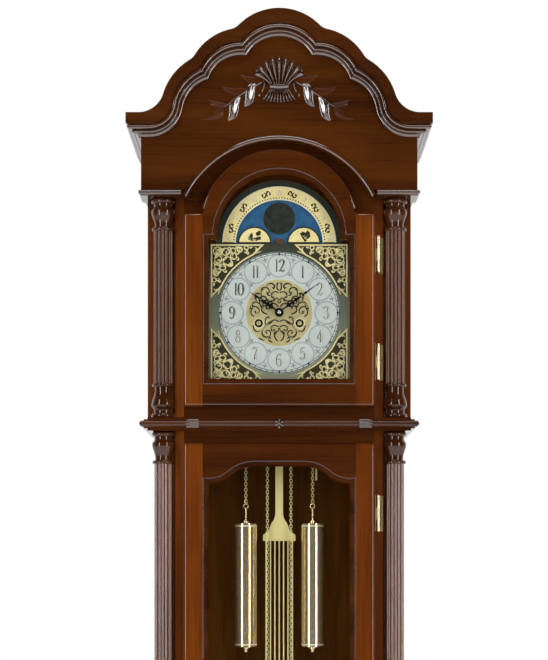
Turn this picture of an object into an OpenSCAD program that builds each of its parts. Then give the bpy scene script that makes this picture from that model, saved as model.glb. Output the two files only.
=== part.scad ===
// Longcase clock with a scalloped pediment, two chain-hung weights and a moon dial.
// Millimetres. The origin is under the middle of the case, on the floor.
// +Z is up, +X is to the right of the viewer and the dial faces -Y.
// "Forward" in a profile means towards -Y, so a point at forward f lies at y = -f.

/* [Case] */
// Overall width, across the cornice
cornice_w = 600; // [560:1:660]
// Overall depth, from the cornice to the back of the backboard
case_d = 300; // [280:1:340]
// Width of the trunk
trunk_w = 492; // [470:1:510]
// Distance that the cornice stands out over the frieze
cornice_out = 28; // [26:0.5:30]
// Distance that the frieze stands out over the hood's side panels
frieze_over = 8; // [4:0.5:14]
// Width of the base
base_w = 540; // [520:1:560]
// Thickness of the side panels
side_t = 18; // [12:0.5:22]
// Thickness of the backboard
back_t = 8; // [5:0.5:12]

/* [Heights] */
// Height of the levelling feet under the skirt
feet_h = 8; // [6:0.5:14]
// Height of the skirt at the floor
skirt_h = 88; // [70:1:110]
// Height of the panelled base
base_h = 304; // [260:1:360]
// Height of the moulding under the trunk
lower_h = 46; // [36:1:60]
// Height of the trunk
trunk_h = 832; // [780:1:900]
// Height of the moulding between trunk and hood
waist_h = 26; // [22:1:32]
// Height of the hood from the waist moulding to the soffit
hood_h = 436; // [425:1:460]

/* [Depths] */
// Forward face of the hood and trunk frames
frame_f = 78; // [76:0.5:82]
// Thickness of the frames
frame_t = 20; // [16:0.5:24]
// Thickness of the doors
door_t = 20; // [18:0.5:22]
// Gap between a closed door and its frame
door_gap = 0.3; // [0.2:0.05:0.6]
// Forward face of the panelled base
base_f = 112; // [100:1:120]

/* [Doors] */
// Width of both doors
door_w = 380; // [370:1:384]
// Width of the glass opening, inside its moulding
glass_w = 280; // [260:1:286]
// Width of the moulding round each opening
lip_w = 12.5; // [9:0.5:15]
// Thickness of the glass
glass_t = 3; // [2:0.5:4]
// Radius of the round edge of the doors
edge_r = 6; // [3:0.5:8]
// Radius of the arch of the hood door
arch_r = 158.6; // [154:0.2:162]

/* [Hinges] */
// Height of a hinge
hinge_h = 71; // [50:1:90]
// Radius of a hinge barrel
barrel_r = 3; // [2.5:0.1:3.4]
// Radius of a hinge pin
pin_r = 1.4; // [1:0.1:1.8]
// Distance of the hinge pin from the edge of the door
pin_out = 7; // [6:0.1:8]

/* [Columns] */
// Distance of the columns from the middle
column_x = 231; // [229:0.5:233]
// Forward position of the columns
column_f = 80; // [78:0.5:82]
// Radius of a hood column shaft over its reeds
hood_shaft_r = 19.5; // [17:0.1:20.5]
// Radius of a trunk column shaft over its reeds
trunk_shaft_r = 17.6; // [16:0.1:20]
// Number of reeds on a shaft
reeds = 14; // [12:1:18]

/* [Dial] */
// Width of the square dial
dial_w = 280; // [270:1:280]
// Outer radius of the chapter ring
ring_r = 122; // [110:1:130]
// Radius of the gilt centre
centre_r = 67; // [60:1:75]
// Outer radius of the moon ring
moon_ring_r = 114; // [110:1:118]
// Radius of the sky that shows in the arch
sky_r = 87; // [84:1:90]
// Radius of the two humps over the moon disc
hump_r = 31; // [26:0.5:34]
// Length of the minute hand
minute_l = 100; // [90:1:110]
// Length of the hour hand
hour_l = 70; // [60:1:78]
// Minutes past ten that the hands show
minutes_past = 9; // [7:0.5:12]

/* [Movement] */
// Module of the motion work, cannon pinion and minute wheel
motion_m = 1; // [0.95:0.05:1.05]
// Teeth of the cannon pinion
cannon_teeth = 24; // [24:1:24]
// Teeth of the minute wheel
minute_teeth = 48; // [48:1:48]
// Teeth of the minute pinion
pinion_teeth = 12; // [12:1:12]
// Teeth of the hour wheel
hour_teeth = 72; // [72:1:72]
// Module of the going train
train_m = 0.8; // [0.78:0.01:0.82]
// Teeth of the centre wheel
centre_teeth = 80; // [80:1:80]
// Teeth of the third wheel
third_teeth = 75; // [75:1:75]
// Teeth of the two train pinions
train_pinion = 10; // [10:1:10]
// Teeth of the escape wheel
escape_teeth = 30; // [30:1:30]
// Thickness of the movement plates
plate_t = 3; // [2:0.5:4]
// Radius of the arbors
arbor_r = 2; // [1.5:0.1:2.4]
// Running clearance of an arbor in its hole
run_gap = 0.05; // [0.02:0.01:0.1]

/* [Weights and chains] */
// Pitch radius of the chain wheels
chain_r = 22; // [20:0.5:22.5]
// Distance of the chain wheels from the middle
chain_x = 46; // [44:0.5:48]
// Radius of a weight
weight_r = 22.5; // [20:0.5:24]
// Length of the body of a weight
weight_l = 250; // [200:1:280]
// Height of the top of the weights when the clock is nearly wound
weight_top = 1097; // [1080:1:1110]
// Radius of the stretch of chain, over its links
link_r = 2.6; // [2:0.1:3]
// Height of the lower end of the free runs
tail_z = 520; // [480:1:560]

/* [Pendulum] */
// Radius of the bob
bob_r = 95; // [80:1:105]
// Thickness of the bob
bob_t = 18; // [12:0.5:20]
// Depth of the pendulum behind the middle of the case
pendulum_y = 45; // [43:0.5:48]
// Distance from the suspension to the middle of the bob
pendulum_l = 994; // [960:1:1010]
// Number of rods in the grid
rods = 7; // [5:2:9]
// Distance between the rods
rod_pitch = 9.1; // [8:0.1:9.5]

/* [Hidden] */
$fn = 96;
e = 0.01;
far = 1000;

// Levels, from the floor up
z_skirt = feet_h;
z_base = z_skirt + skirt_h;
z_lower = z_base + base_h;
z_trunk = z_lower + lower_h;
z_waist = z_trunk + trunk_h;
z_hood = z_waist + waist_h;
z_frieze = z_hood + hood_h;

// Half widths and forward positions
cornice_x = cornice_w / 2;
trunk_x = trunk_w / 2;
frieze_x = cornice_w / 2 - cornice_out;
hood_x = frieze_x - frieze_over;
frieze_f = case_d / 2 - cornice_out;
base_x = base_w / 2;
door_x = door_w / 2;
cornice_f = case_d / 2;
back_y = case_d / 2 - back_t;
front_reveal = 17;
niche_x = door_x + front_reveal;
niche_f = 52;
block_f = niche_f - 18;
door_back_f = frame_f + door_gap;
door_front_f = door_back_f + door_t;
pediment_t = 20;

// Soffit under the frieze, and the roof board
soffit_h = 12;
roof_z = z_frieze + 140;
roof_t = 12;

// Pediment outline: centres above the frieze, and radii of the lobes and their fillets
lobe = [[0, 248.7, 111.3], [71, 211.3, 110], [115.3, 158.9, 116.3]];
lobe_fillet = 30;
end_fillet = 51;
end_top = 156.5;
board_inset = 5;

// Beaded moulding: lobes of its outer line, its concave turn and its flat end
bead_lobe = [[0, 238, 95.5], [74, 206, 90.5], [118, 158, 94.5]];
bead_turn = 45;
end_bottom = 135.5;
bead_w = 23;
bead_floor = 3;
joint_gap = 0.1;
end_lap = 0.6;

// Arched cut-out of the frieze
arch_cut_c = -94;
arch_cut_r = 213;
arch_cut_x = 193;
arch_bead = 10;

// Hood door, measured from the soffit down and from the hood floor up
door_arch_z = z_frieze - 59;
door_shoulder_z = z_frieze - 29;
door_shoulder_r = 12;
hood_door_z = z_hood + 23;
hood_glass_z = z_hood + 78.5;
hood_glass_shoulder = z_frieze - 81.5;
glass_arch_z = z_frieze - 72;
glass_arch_r = arch_r - 37.1;

// Trunk door
trunk_door_z = z_trunk + 24;
trunk_door_top = z_waist - 23;
trunk_glass_z = trunk_door_z + 48;
trunk_glass_top = trunk_door_top - 46.5;
ogee_flat = 50;
ogee_drop = 34;
ogee_run = (glass_w / 2 - ogee_flat) / 2;
ogee_r = (ogee_run * ogee_run + ogee_drop * ogee_drop / 4) / ogee_drop;
ogee_a = asin(ogee_run / ogee_r);

// Rebate for the glass
rebate_w = 8;
rebate_f = door_front_f - 10;
lip_deep = 8;
glass_gap = 0.5;

// Hinges and magnets
pin_x = door_x + pin_out;
pin_f = door_front_f;
leaf_t = 1.5;
knuckle_gap = 0.2;
hood_hinge_z = [hood_door_z + 89, z_frieze - 111];
trunk_hinge_z = [trunk_door_z + 139.5, trunk_door_top - 139.5];
magnet_r = 5;
magnet_t = 4;
magnet_x = 180;

// Dial
dial_z = z_hood + 214;
dial_f = 60;
dial_t = 2;
dial_plate_x = dial_w / 2 + 6;
moon_z = dial_z + 139;
dial_arch_r = moon_ring_r + 13;
ring_t = 1.5;
ring_in_r = centre_r;
centre_t = 1.8;
hump_x = 49.3;
winder_x = 41;
winder_z = dial_z - 21;
spandrel_t = 3;
spandrel_x = dial_w / 2 - 3;
spandrel_field_t = 1;
spandrel_border = 3;
scroll_w = 1.8;
spandrel_rings = [
    [14, 14, 9.5], [30, 15, 8], [15, 30, 8], [44, 13, 6.5], [13, 44, 6.5], [33, 33, 9], [58, 10.5, 6],
    [10.5, 58, 6], [71, 7, 5], [7, 71, 5], [45.5, 24, 7], [24, 45.5, 7]
];
moon_disc_r = 100;
moon_disc_t = 0.9;
moon_gap = 0.5;

// Movement: the centre arbor is at the middle of the dial
plate_f = 34;
back_plate_f = -25;
plate_x = 84;
seat_t = 18;
seat_z = z_hood + 100;
plate_z0 = seat_z + seat_t;
train_d1 = train_m * (centre_teeth + train_pinion) / 2;
train_d2 = train_m * (third_teeth + train_pinion) / 2;
third_z = dial_z + train_d1;
escape_z = third_z + train_d2;
escape_r = 24;
anchor_z = escape_z + 34;
plate_z1 = anchor_z + 44;
motion_d = motion_m * (cannon_teeth + minute_teeth) / 2;
hour_m = 2 * motion_d / (pinion_teeth + hour_teeth);
motion_a = 135;
motion_x = motion_d * cos(motion_a);
motion_z = dial_z + motion_d * sin(motion_a);
stud_r = 2;
cannon_r = 3.5;
hour_pipe_r = 5.5;
hand_t = 1.2;
minute_f = 72.5;
hour_f = 68.5;
motion_f = 38;
motion_wheel_t = 4;
hour_wheel_f = 46;
hour_wheel_t = 3;
centre_wheel_f = 24;
third_wheel_f = 16;
escape_wheel_f = -14;
wheel_t = 2;
chain_z = dial_z - 40;
chain_f = 5;
pillar_r = 4;
pillar_x = 78;

// Hands: angles from twelve o'clock, clockwise
minute_a = minutes_past * 6;
hour_a = 300 + minutes_past / 2;

// Half outlines of the hands: share of the length and half width
minute_boss_r = 6;
minute_line = [
    [0, 1.5], [0.17, 1.4], [0.29, 8], [0.33, 4.5], [0.385, 7], [0.45, 2], [0.5, 1.6], [0.555, 4.6],
    [0.61, 1.4], [0.655, 2.6], [0.7, 1.2], [1, 0.35]
];
minute_lobes = [[0.285, 4, 1.9], [0.375, 3.5, 1.8]];
hour_boss_r = 9;
hour_line = [
    [0, 1.9], [0.2, 1.8], [0.36, 10], [0.41, 6], [0.47, 9], [0.56, 3], [0.6, 2.4], [0.66, 4.4],
    [0.72, 1.6], [0.775, 2.6], [0.83, 1.2], [1, 0.4]
];
hour_lobes = [[0.35, 5, 2.3], [0.465, 4.6, 2.2]];

// Chime rods and hammer
chime_x = 77;
chime_y = 60;
chime_r = 2.25;
chime_pitch = 12;
chime_n = 4;
chime_block_z = seat_z + 60;
chime_tip_z = z_waist - 89;
hammer_x = 59;
hammer_z = chime_block_z + 26;
hammer_gap = 0.6;

// Weights and their hooks
left_run_x = chain_x + chain_r;
free_run_x = chain_x - chain_r;
hook_h = 44;
finial_h = 11;

// Pendulum
stick_w = 15.7;
stick_t = 5;
bracket_z1 = 1121;
bracket_z0 = 1063;
bracket_w = 67;
rod_r = 1.5;
bob_z = anchor_z - pendulum_l;
lower_bracket_h = 12;

// Axis helpers

// Upright plate with an outline in (x, z), from forward f0 to forward f1
module plate(f0, f1) {
    translate([0, -f0, 0]) rotate([90, 0, 0]) linear_extrude(f1 - f0) children();
}

// Prism along X, with an outline in (y, z)
module along_x(x0, x1) {
    translate([x0, 0, 0]) rotate([90, 0, 90]) linear_extrude(x1 - x0) children();
}

// Arc of a moulding in an upright plane, with a profile in (radius, forward)
module turn(cx, cz, a0, a1) {
    translate([cx, 0, cz]) rotate([90, 0, 0]) rotate([0, 0, a0]) rotate_extrude(angle = a1 - a0) children();
}

// Rod along Y from forward f0 to forward f1
module arbor(x, z, r, f0, f1) {
    translate([x, -f0, z]) rotate([90, 0, 0]) cylinder(r = r, h = f1 - f0);
}

// A thing and its mirror image on the left
module both_sides() {
    children();
    mirror([1, 0, 0]) children();
}

// Outline helpers

// Disc
module disc(c, r) {
    translate(c) circle(r);
}

// Box by its corners
module box2(x0, z0, x1, z1) {
    translate([x0, z0]) square([x1 - x0, z1 - z0]);
}

// Where a circle of radius r touches two circles from outside, on the right of a to b
function meet(a, ra, b, rb, r) =
    let (d = norm(b - a), p = ra + r, q = rb + r)
    let (u = (d * d + p * p - q * q) / (2 * d), v = sqrt(p * p - u * u))
    let (n = (b - a) / d)
    a + u * n + v * [n[1], -n[0]];

// Angle of the line from a to b
function heading(a, b) = atan2(b[1] - a[1], b[0] - a[0]);

// Points along an arc round c, about three degrees apart
function arc(c, r, a0, a1) =
    let (n = ceil(abs(a1 - a0) / 3))
    [for (i = [0:n]) let (a = a0 + (a1 - a0) * i / n) c + r * [cos(a), sin(a)]];

// A list turned end for end
function flip(list) = [for (i = [len(list) - 1:-1:0]) list[i]];

// A half outline closed by its mirror image
module mirrored_outline(half) {
    polygon(concat(half, flip([for (q = half) [-q[0], q[1]]])));
}

// Ring of reeds
module reed_section(r) {
    reed_r = 0.94 * r * sin(180 / reeds) / (1 + sin(180 / reeds));
    circle(r - reed_r - 0.3);
    for (i = [0:reeds - 1]) {
        rotate(360 / reeds * (i + 0.5)) disc([r - reed_r, 0], reed_r);
    }
}

// Pediment

function lobe_c(i) = [lobe[i][0], z_frieze + lobe[i][1]];
function bead_c(i) = [bead_lobe[i][0], z_frieze + bead_lobe[i][1]];

// Where a circle of radius r rests in the corner between a level line and a disc
function corner_c(c, rc, z, r) = [c[0] + sqrt(pow(rc + r, 2) - pow(z + r - c[1], 2)), z + r];

end_c = corner_c(lobe_c(2), lobe[2][2], z_frieze + end_top, end_fillet);
turn_c = corner_c(bead_c(2), bead_lobe[2][2], z_frieze + end_bottom, bead_turn);

// Centre of the fillet between two lobes
function fillet_c(i) = meet(lobe_c(i + 1), lobe[i + 1][2], lobe_c(i), lobe[i][2], lobe_fillet);

// Pediment outline from the top to the right end, drawn in by a distance
function pediment_line(inset) = concat(
    arc(lobe_c(0), lobe[0][2] - inset, 90, heading(lobe_c(0), fillet_c(0))),
    arc(fillet_c(0), lobe_fillet + inset, heading(fillet_c(0), lobe_c(0)), heading(fillet_c(0), lobe_c(1))),
    arc(lobe_c(1), lobe[1][2] - inset, heading(lobe_c(1), fillet_c(0)), heading(lobe_c(1), fillet_c(1))),
    arc(fillet_c(1), lobe_fillet + inset, heading(fillet_c(1), lobe_c(1)), heading(fillet_c(1), lobe_c(2))),
    arc(lobe_c(2), lobe[2][2] - inset, heading(lobe_c(2), fillet_c(1)), heading(lobe_c(2), end_c)),
    arc(end_c, end_fillet + inset, heading(end_c, lobe_c(2)), -90)
);

// Material of the beaded moulding in (distance inwards, forward)
module bead_profile() {
    deep = cornice_f - frieze_f;
    f = frieze_f;
    step = (deep - bead_floor) / 3;
    box2(0, f, 2, f + deep - 2.5);
    box2(0, f, 9.5, f + deep - 7);
    disc([5.8, f + deep - 7], 4);
    box2(0, f, 15.5, f + deep - 7 - step);
    disc([12.8, f + deep - 6.4 - step], 3.4);
    difference() {
        box2(0, f, bead_w, f + deep - 8.5 - step);
        disc([bead_w, f + deep - 8.5 - step], 7);
    }
    box2(0, f, bead_w, f + bead_floor);
}

// Where the moulding of one lobe meets the next, at a distance inwards from its outer line
function cusp(i, t) = meet(bead_c(i + 1), bead_lobe[i + 1][2] - t, bead_c(i), bead_lobe[i][2] - t, 0);

// Point on the mitre between two lobes, s times the moulding's width inwards
function mitre(i, s) = cusp(i, 0) + s * (cusp(i, bead_w) - cusp(i, 0));

// Ring of beaded moulding inside a lobe, between two directions
module bead_arc(i, a0, a1) {
    c = bead_c(i);
    turn(c[0], c[1], a0, a1) translate([bead_lobe[i][2], 0]) mirror([1, 0]) bead_profile();
}

// Beads of the middle lobe, cut square to the mitres
module middle_beads() {
    intersection() {
        bead_arc(0, 20, 160);
        plate(0, far) union() {
            m = [for (s = [-2, 3]) mitre(0, s) - [joint_gap, 0]];
            polygon([m[0], m[1], [-m[1][0], m[1][1]], [-m[0][0], m[0][1]], [0, m[0][1] + 200]]);
        }
    }
}

// Beads of the right side: two lobes, the concave turn and the flat end
module side_beads() {
    c = bead_c(1);
    intersection() {
        bead_arc(1, -10, 130);
        plate(0, far) polygon([mitre(0, -2), c + [200, 200], mitre(1, -2), mitre(1, 3), mitre(0, 3)]);
    }
    intersection() {
        bead_arc(2, heading(bead_c(2), turn_c), 110);
        plate(0, far) translate([joint_gap, -joint_gap])
            polygon([mitre(1, -2), bead_c(2) + [300, 200], bead_c(2) + [300, -200], bead_c(2), mitre(1, 3)]);
    }
    hair = joint_gap / bead_turn * 180 / PI;
    turn(turn_c[0], turn_c[1], heading(turn_c, bead_c(2)) + hair, -90 - hair)
        translate([bead_turn, 0]) bead_profile();
    intersection() {
        translate([cornice_x, 0, z_frieze + end_bottom]) rotate([0, 90, 180])
            linear_extrude(cornice_x - turn_c[0]) bead_profile();
        linear_extrude(far * 3) polygon([corner_mitre(-20), corner_mitre(60), [0, -far], [0, 0]]);
    }
    intersection() {
        plate(frieze_f, cornice_f) side_bead_section();
        linear_extrude(far * 3) polygon([corner_mitre(-20), corner_mitre(60), [far, 0]]);
    }
}

// Point on the mitre at the front corner of the cornice in (x, y), a distance outwards
function corner_mitre(d) = [frieze_x + d, -frieze_f - d];

// End sections of the cornice in (x, z), right side
module side_bead_section() {
    translate([frieze_x - frieze_f, z_frieze + end_bottom]) rotate(-90) bead_profile();
}

module cornice_end_section() {
    box2(frieze_x, z_frieze + end_bottom - end_lap, cornice_x, z_frieze + end_top);
    side_bead_section();
}

// Outer line of the beads from the top to the right end, moved inwards by a distance
function bead_line(t) = concat(
    arc(bead_c(0), bead_lobe[0][2] - t, 90, heading(bead_c(0), cusp(0, t))),
    arc(bead_c(1), bead_lobe[1][2] - t, heading(bead_c(1), cusp(0, t)), heading(bead_c(1), cusp(1, t))),
    arc(bead_c(2), bead_lobe[2][2] - t, heading(bead_c(2), cusp(1, t)), heading(bead_c(2), turn_c)),
    arc(turn_c, bead_turn + t, heading(turn_c, bead_c(2)), -90)
);

// Face of the cornice above the beads, a joint away from their edge
module fascia_outline() {
    top = z_frieze + end_top;
    low = z_frieze + end_bottom + joint_gap;
    right = concat(pediment_line(0), [[cornice_x, top], [cornice_x, low]], flip(bead_line(-joint_gap)));
    left = flip([for (q = right) [-q[0], q[1]]]);
    polygon(right);
    polygon(left);
}

module cornice_moulding() {
    color("#3a1a0c") {
        plate(frieze_f, cornice_f) fascia_outline();
        middle_beads();
        both_sides() side_beads();
    }
}

module cornice_returns() {
    color("#3a1a0c") both_sides() plate(-back_y, frieze_f) cornice_end_section();
}

// Arched cut-out of the frieze, widened by a distance
module arch_cut(grow) {
    intersection() {
        disc([0, z_frieze + arch_cut_c], arch_cut_r + grow);
        box2(-arch_cut_x - grow, 0, arch_cut_x + grow, z_frieze + far);
    }
    box2(-arch_cut_x - grow, z_frieze - 1, arch_cut_x + grow, z_frieze);
}

module pediment_board() {
    color("#42200f")
    plate(frieze_f - pediment_t, frieze_f) difference() {
        intersection() {
            mirrored_outline(concat(pediment_line(board_inset), [[end_c[0], z_frieze + soffit_h]]));
            box2(-frieze_x, z_frieze + soffit_h, frieze_x, z_frieze + far);
        }
        arch_cut(0);
    }
}

// Corner soffits of the frieze, and the bead that edges the arch
module frieze_base_moulding() {
    color("#3a1a0c") {
        both_sides() intersection() {
            along_x(arch_cut_x, frieze_x + 6) {
                box2(-frieze_f, z_frieze, -niche_f, z_frieze + soffit_h);
                disc([-frieze_f, z_frieze + soffit_h / 2], soffit_h / 2 - 1);
            }
            plate(0, far) {
                box2(0, z_frieze, frieze_x, z_frieze + soffit_h);
                disc([frieze_x, z_frieze + soffit_h / 2], soffit_h / 2 - 1);
            }
        }
        a = acos(arch_cut_x / arch_cut_r) + 1.5;
        turn(0, z_frieze + arch_cut_c, a, 180 - a) translate([arch_cut_r - arch_bead / 2, 0]) {
            box2(-arch_bead / 2, frieze_f - pediment_t, arch_bead / 2 - 0.3, frieze_f);
            disc([0, frieze_f], arch_bead / 2 - 0.6);
        }
    }
}

module hood_roof() {
    color("#2c1409")
    translate([-frieze_x + 8 + e, -frieze_f + pediment_t, roof_z])
        cube([2 * (frieze_x - 8 - e), back_y + frieze_f - pediment_t, roof_t]);
}

// Shell with two fans, and sprays of leaves
module leaf(x, z, a, len, w, t) {
    r = (len * len + w * w) / (4 * w);
    translate([x, 0, z]) rotate([0, -a, 0]) plate(frieze_f, frieze_f + t) intersection() {
        disc([len / 2, r - w / 2], r);
        disc([len / 2, w / 2 - r], r);
    }
}

// Fan of petals from one radius to another, the first and last a spread apart
module fan(z, petals, spread, r0, r1, w, t, up) {
    for (i = [0:petals - 1]) {
        a = up - spread / 2 + spread * i / (petals - 1);
        leaf(r0 * cos(a), z + r0 * sin(a), a, r1 - r0, w, t);
    }
}

module pediment_carving() {
    base = z_frieze + 204;
    color("#3f1d0d") {
        fan(base + 2, 9, 124, 12, 49, 7, 8, 90);
        fan(base - 3, 7, 130, 8, 28, 5, 6, 270);
        plate(frieze_f, frieze_f + 5) box2(-12, base - 4, 12, base + 4);
        both_sides() {
            leaf(24, base + 7, 28, 42, 12, 6);
            leaf(24, base - 2, -14, 34, 10, 6);
            leaf(25, base - 19, -62, 38, 12, 7);
            leaf(48, base - 24, -56, 52, 14, 7);
            leaf(70, base - 10, -32, 46, 11, 5);
            leaf(88, base - 52, -14, 46, 9, 5);
        }
    }
}

// Case

// Backboard, wider behind the base
module backboard() {
    low = z_skirt + 18;
    color("#2c1409") plate(-case_d / 2, -back_y) {
        box2(-trunk_x, low, trunk_x, roof_z);
        box2(-base_x + side_t, low, base_x - side_t, z_lower);
    }
}

module bottom_board() {
    color("#2c1409") difference() {
        translate([-base_x + side_t, -base_f + frame_t, z_skirt + 18])
            cube([base_w - 2 * side_t, base_f - frame_t + back_y, 12]);
        foot_places() cylinder(r = 5 + run_gap, h = far, center = true);
    }
}

module foot_places() {
    both_sides() {
        for (y = [-78, 112]) {
            translate([base_x - 44, y, 0]) children();
        }
    }
}

module levelling_feet() {
    color("#8d8f92") foot_places() {
        cylinder(r = 17, h = feet_h);
        cylinder(r = 5, h = z_skirt + 26);
    }
}

// Skirt with a shaped apron and a moulded top edge
module base_skirt() {
    out = 12;
    lip = 10;
    round_r = 9.5;
    ledge = 1;
    color("#42200f") difference() {
        intersection() {
            along_x(-far, far) {
                box2(-base_f - out, z_skirt, back_y, z_base - lip - ledge);
                box2(-base_f - ledge, z_skirt, back_y, z_base);
                disc([-base_f - out + lip, z_base - lip], round_r);
            }
            plate(-far, far) {
                box2(-base_x - out, z_skirt, base_x + out, z_base - lip - ledge);
                box2(-base_x - ledge, z_skirt, base_x + ledge, z_base);
                for (x = [-base_x - out + lip, base_x + out - lip]) {
                    disc([x, z_base - lip], round_r);
                }
            }
        }
        translate([-base_x + side_t, -base_f + frame_t, -e])
            cube([base_w - 2 * side_t, far, far]);
        plate(0, far) apron_cut(base_x - 52);
        rotate([0, 0, 90]) plate(-far, far) translate([(back_y - base_f) / 2, 0]) apron_cut(86);
    }
}

module both2() {
    children();
    mirror([1, 0]) children();
}

module apron_cut(half) {
    rise = 34;
    box2(-half + rise, 0, half - rise, z_skirt + rise);
    both2() disc([half - rise, z_skirt], rise);
}

// Panelled front of the base, with a raised field
module base_front_panel() {
    border = 58;
    bevel = 20;
    w = base_x - border;
    z0 = z_base + border;
    z1 = z_lower - border;
    color("#42200f") difference() {
        translate([-base_x, -base_f, z_base]) cube([base_w, frame_t, base_h]);
        difference() {
            translate([-w, -base_f - 1, z0]) cube([2 * w, 7, z1 - z0]);
            intersection() {
                linear_extrude(far) polygon([
                    [-w + bevel, -base_f], [w - bevel, -base_f], [w - 1, -base_f + 5.8], [w, far], [-w, far],
                    [-w + 1, -base_f + 5.8]
                ]);
                along_x(-far, far) polygon([
                    [-base_f, z0 + bevel], [-base_f, z1 - bevel], [-base_f + 5.8, z1 - 1], [far, z1], [far, z0],
                    [-base_f + 5.8, z0 + 1]
                ]);
            }
        }
    }
}

module base_side_panels() {
    color("#42200f") both_sides()
        translate([base_x - side_t, -base_f + frame_t, z_base])
            cube([side_t, base_f - frame_t + back_y, base_h]);
}

// Open slab with a moulded edge on three sides, given by a half section in (outwards, z)
module moulded_ring(x, f, z0, z1, inner_x, inner_f) {
    difference() {
        intersection() {
            along_x(-far, far) {
                box2(-f, z0, back_y, z1);
                translate([-f, 0]) mirror([1, 0]) children();
            }
            plate(-far, far) {
                box2(-x, z0, x, z1);
                both2() translate([x, 0]) children();
            }
        }
        translate([-inner_x, -inner_f, 0]) cube([2 * inner_x, inner_f + far, far * 3]);
    }
}

module lower_edge() {
    difference() {
        box2(-1, z_lower, 26, z_trunk - 14);
        disc([26, z_trunk - 14], 20);
    }
    disc([26, z_lower + 6], 6);
    box2(-1, z_trunk - 16, 4, z_trunk - 4);
}

module lower_waist_moulding() {
    x = trunk_x + 10;
    f = column_f + 24;
    color("#3a1a0c") moulded_ring(x, f, z_lower, z_trunk, trunk_x - side_t, block_f) lower_edge();
}

module waist_edge() {
    r = waist_h / 2 - 7;
    mid = z_waist + waist_h / 2;
    box2(-1, mid - r - 3, 7, mid + r + 3);
    disc([15 - r, mid], r);
    box2(-1, mid - r, 15 - r, mid + r);
}

module waist_moulding() {
    x = hood_x - 4;
    f = column_f + 33;
    color("#3a1a0c") moulded_ring(x, f, z_waist, z_hood, trunk_x - side_t, block_f) waist_edge();
}

// Plan of a front frame with the corner niches for the columns
module frame_plan(half) {
    both2() {
        translate([0, -frame_f]) square([niche_x, frame_t]);
        translate([niche_x - 18, -frame_f]) square([18, frame_f - block_f]);
        translate([niche_x - 18, -niche_f]) square([half - niche_x + 18, niche_f - block_f]);
    }
}

// Right half of the trunk door's glass opening from its flat top down, grown by a distance
function trunk_line(g) =
    let (x = glass_w / 2, c = [x, trunk_glass_top - ogee_drop + ogee_r], r = ogee_r - g)
    concat(
        arc([ogee_flat, trunk_glass_top - ogee_r], ogee_r + g, 90, 90 - ogee_a),
        arc(c, r, 270 - ogee_a, 270 + asin(g / r)),
        [[x + g, trunk_glass_z - g]]
    );

module trunk_opening(g) {
    mirrored_outline(trunk_line(g));
}

module trunk_front_frame() {
    color("#42200f") difference() {
        translate([0, 0, z_trunk]) linear_extrude(trunk_h) frame_plan(trunk_x);
        plate(0, far) trunk_opening(10);
        magnet_pockets([trunk_door_z + 180, trunk_door_top - 120]);
    }
}

module trunk_side_panels() {
    color("#42200f") both_sides()
        translate([trunk_x - side_t, -block_f, z_trunk]) cube([side_t, block_f + back_y, trunk_h]);
}

// Columns

// Turned profile from stations of [height, radius], with cosine blends between them
function blend(a, b, n) = [for (i = [0:n - 1]) let (s = i / n, k = (1 - cos(180 * s)) / 2)
    [a[1] + (b[1] - a[1]) * k, a[0] + (b[0] - a[0]) * s]];

// Vase between two stations, widest and narrowest radii at the stations given
module turned(stations, n) {
    pts = [for (i = [0:len(stations) - 2]) each blend(stations[i], stations[i + 1], n)];
    last = stations[len(stations) - 1];
    rotate_extrude() polygon(concat([[0, stations[0][0]]], pts, [[last[1], last[0]], [0, last[0]]]));
}

// Ring with a rounded rim
module torus_ring(z, h, r) {
    translate([0, 0, z]) rotate_extrude() {
        square([r - h / 2, h]);
        translate([r - h / 2, h / 2]) circle(h / 2);
    }
}

// Capital or foot: a ring at the shaft end, a vase and a ring at the outer end
module turned_end(z_shaft, z_end, shaft_r, big_r) {
    s = sign(z_end - z_shaft);
    span = abs(z_end - z_shaft);
    translate([0, 0, z_shaft]) mirror([0, 0, s > 0 ? 0 : 1]) {
        torus_ring(0, 7.5, shaft_r + 3);
        turned([
            [7, shaft_r - 2.4], [span * 0.16 + 2, shaft_r - 2.6], [span * 0.62, big_r - 0.4],
            [span * 0.78, shaft_r - 1], [span * 0.86, shaft_r - 0.6]
        ], 6);
        torus_ring(span * 0.85, span * 0.15, big_r);
    }
}

hood_shaft_z = [z_hood + 70, z_frieze - 64];
trunk_shaft_z = [z_trunk + 70, z_waist - 64.5];

module column_places() {
    both_sides() translate([column_x, -column_f, 0]) children();
}

module hood_column_shafts() {
    color("#4a2312") column_places() translate([0, 0, hood_shaft_z[0]])
        linear_extrude(hood_shaft_z[1] - hood_shaft_z[0]) reed_section(hood_shaft_r);
}

module hood_column_turnings() {
    color("#3a1a0c") column_places() {
        turned_end(hood_shaft_z[1], z_frieze, hood_shaft_r, hood_shaft_r + 4.4);
        turned_end(hood_shaft_z[0], z_hood, hood_shaft_r, hood_shaft_r + 4.4);
    }
}

module trunk_column_shafts() {
    color("#5a3020") column_places() translate([0, 0, trunk_shaft_z[0]])
        linear_extrude(trunk_shaft_z[1] - trunk_shaft_z[0]) reed_section(trunk_shaft_r);
}

module trunk_column_turnings() {
    color("#3a1a0c") column_places() {
        turned_end(trunk_shaft_z[1], z_waist, trunk_shaft_r + 1, trunk_shaft_r + 5);
        turned_end(trunk_shaft_z[0], z_trunk, trunk_shaft_r + 1, trunk_shaft_r + 5);
    }
}

// Hood

// Dial opening of the hood frame, grown by a distance
module dial_opening(x, r) {
    box2(-x, dial_z - x, x, moon_z);
    disc([0, moon_z], r);
}

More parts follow.
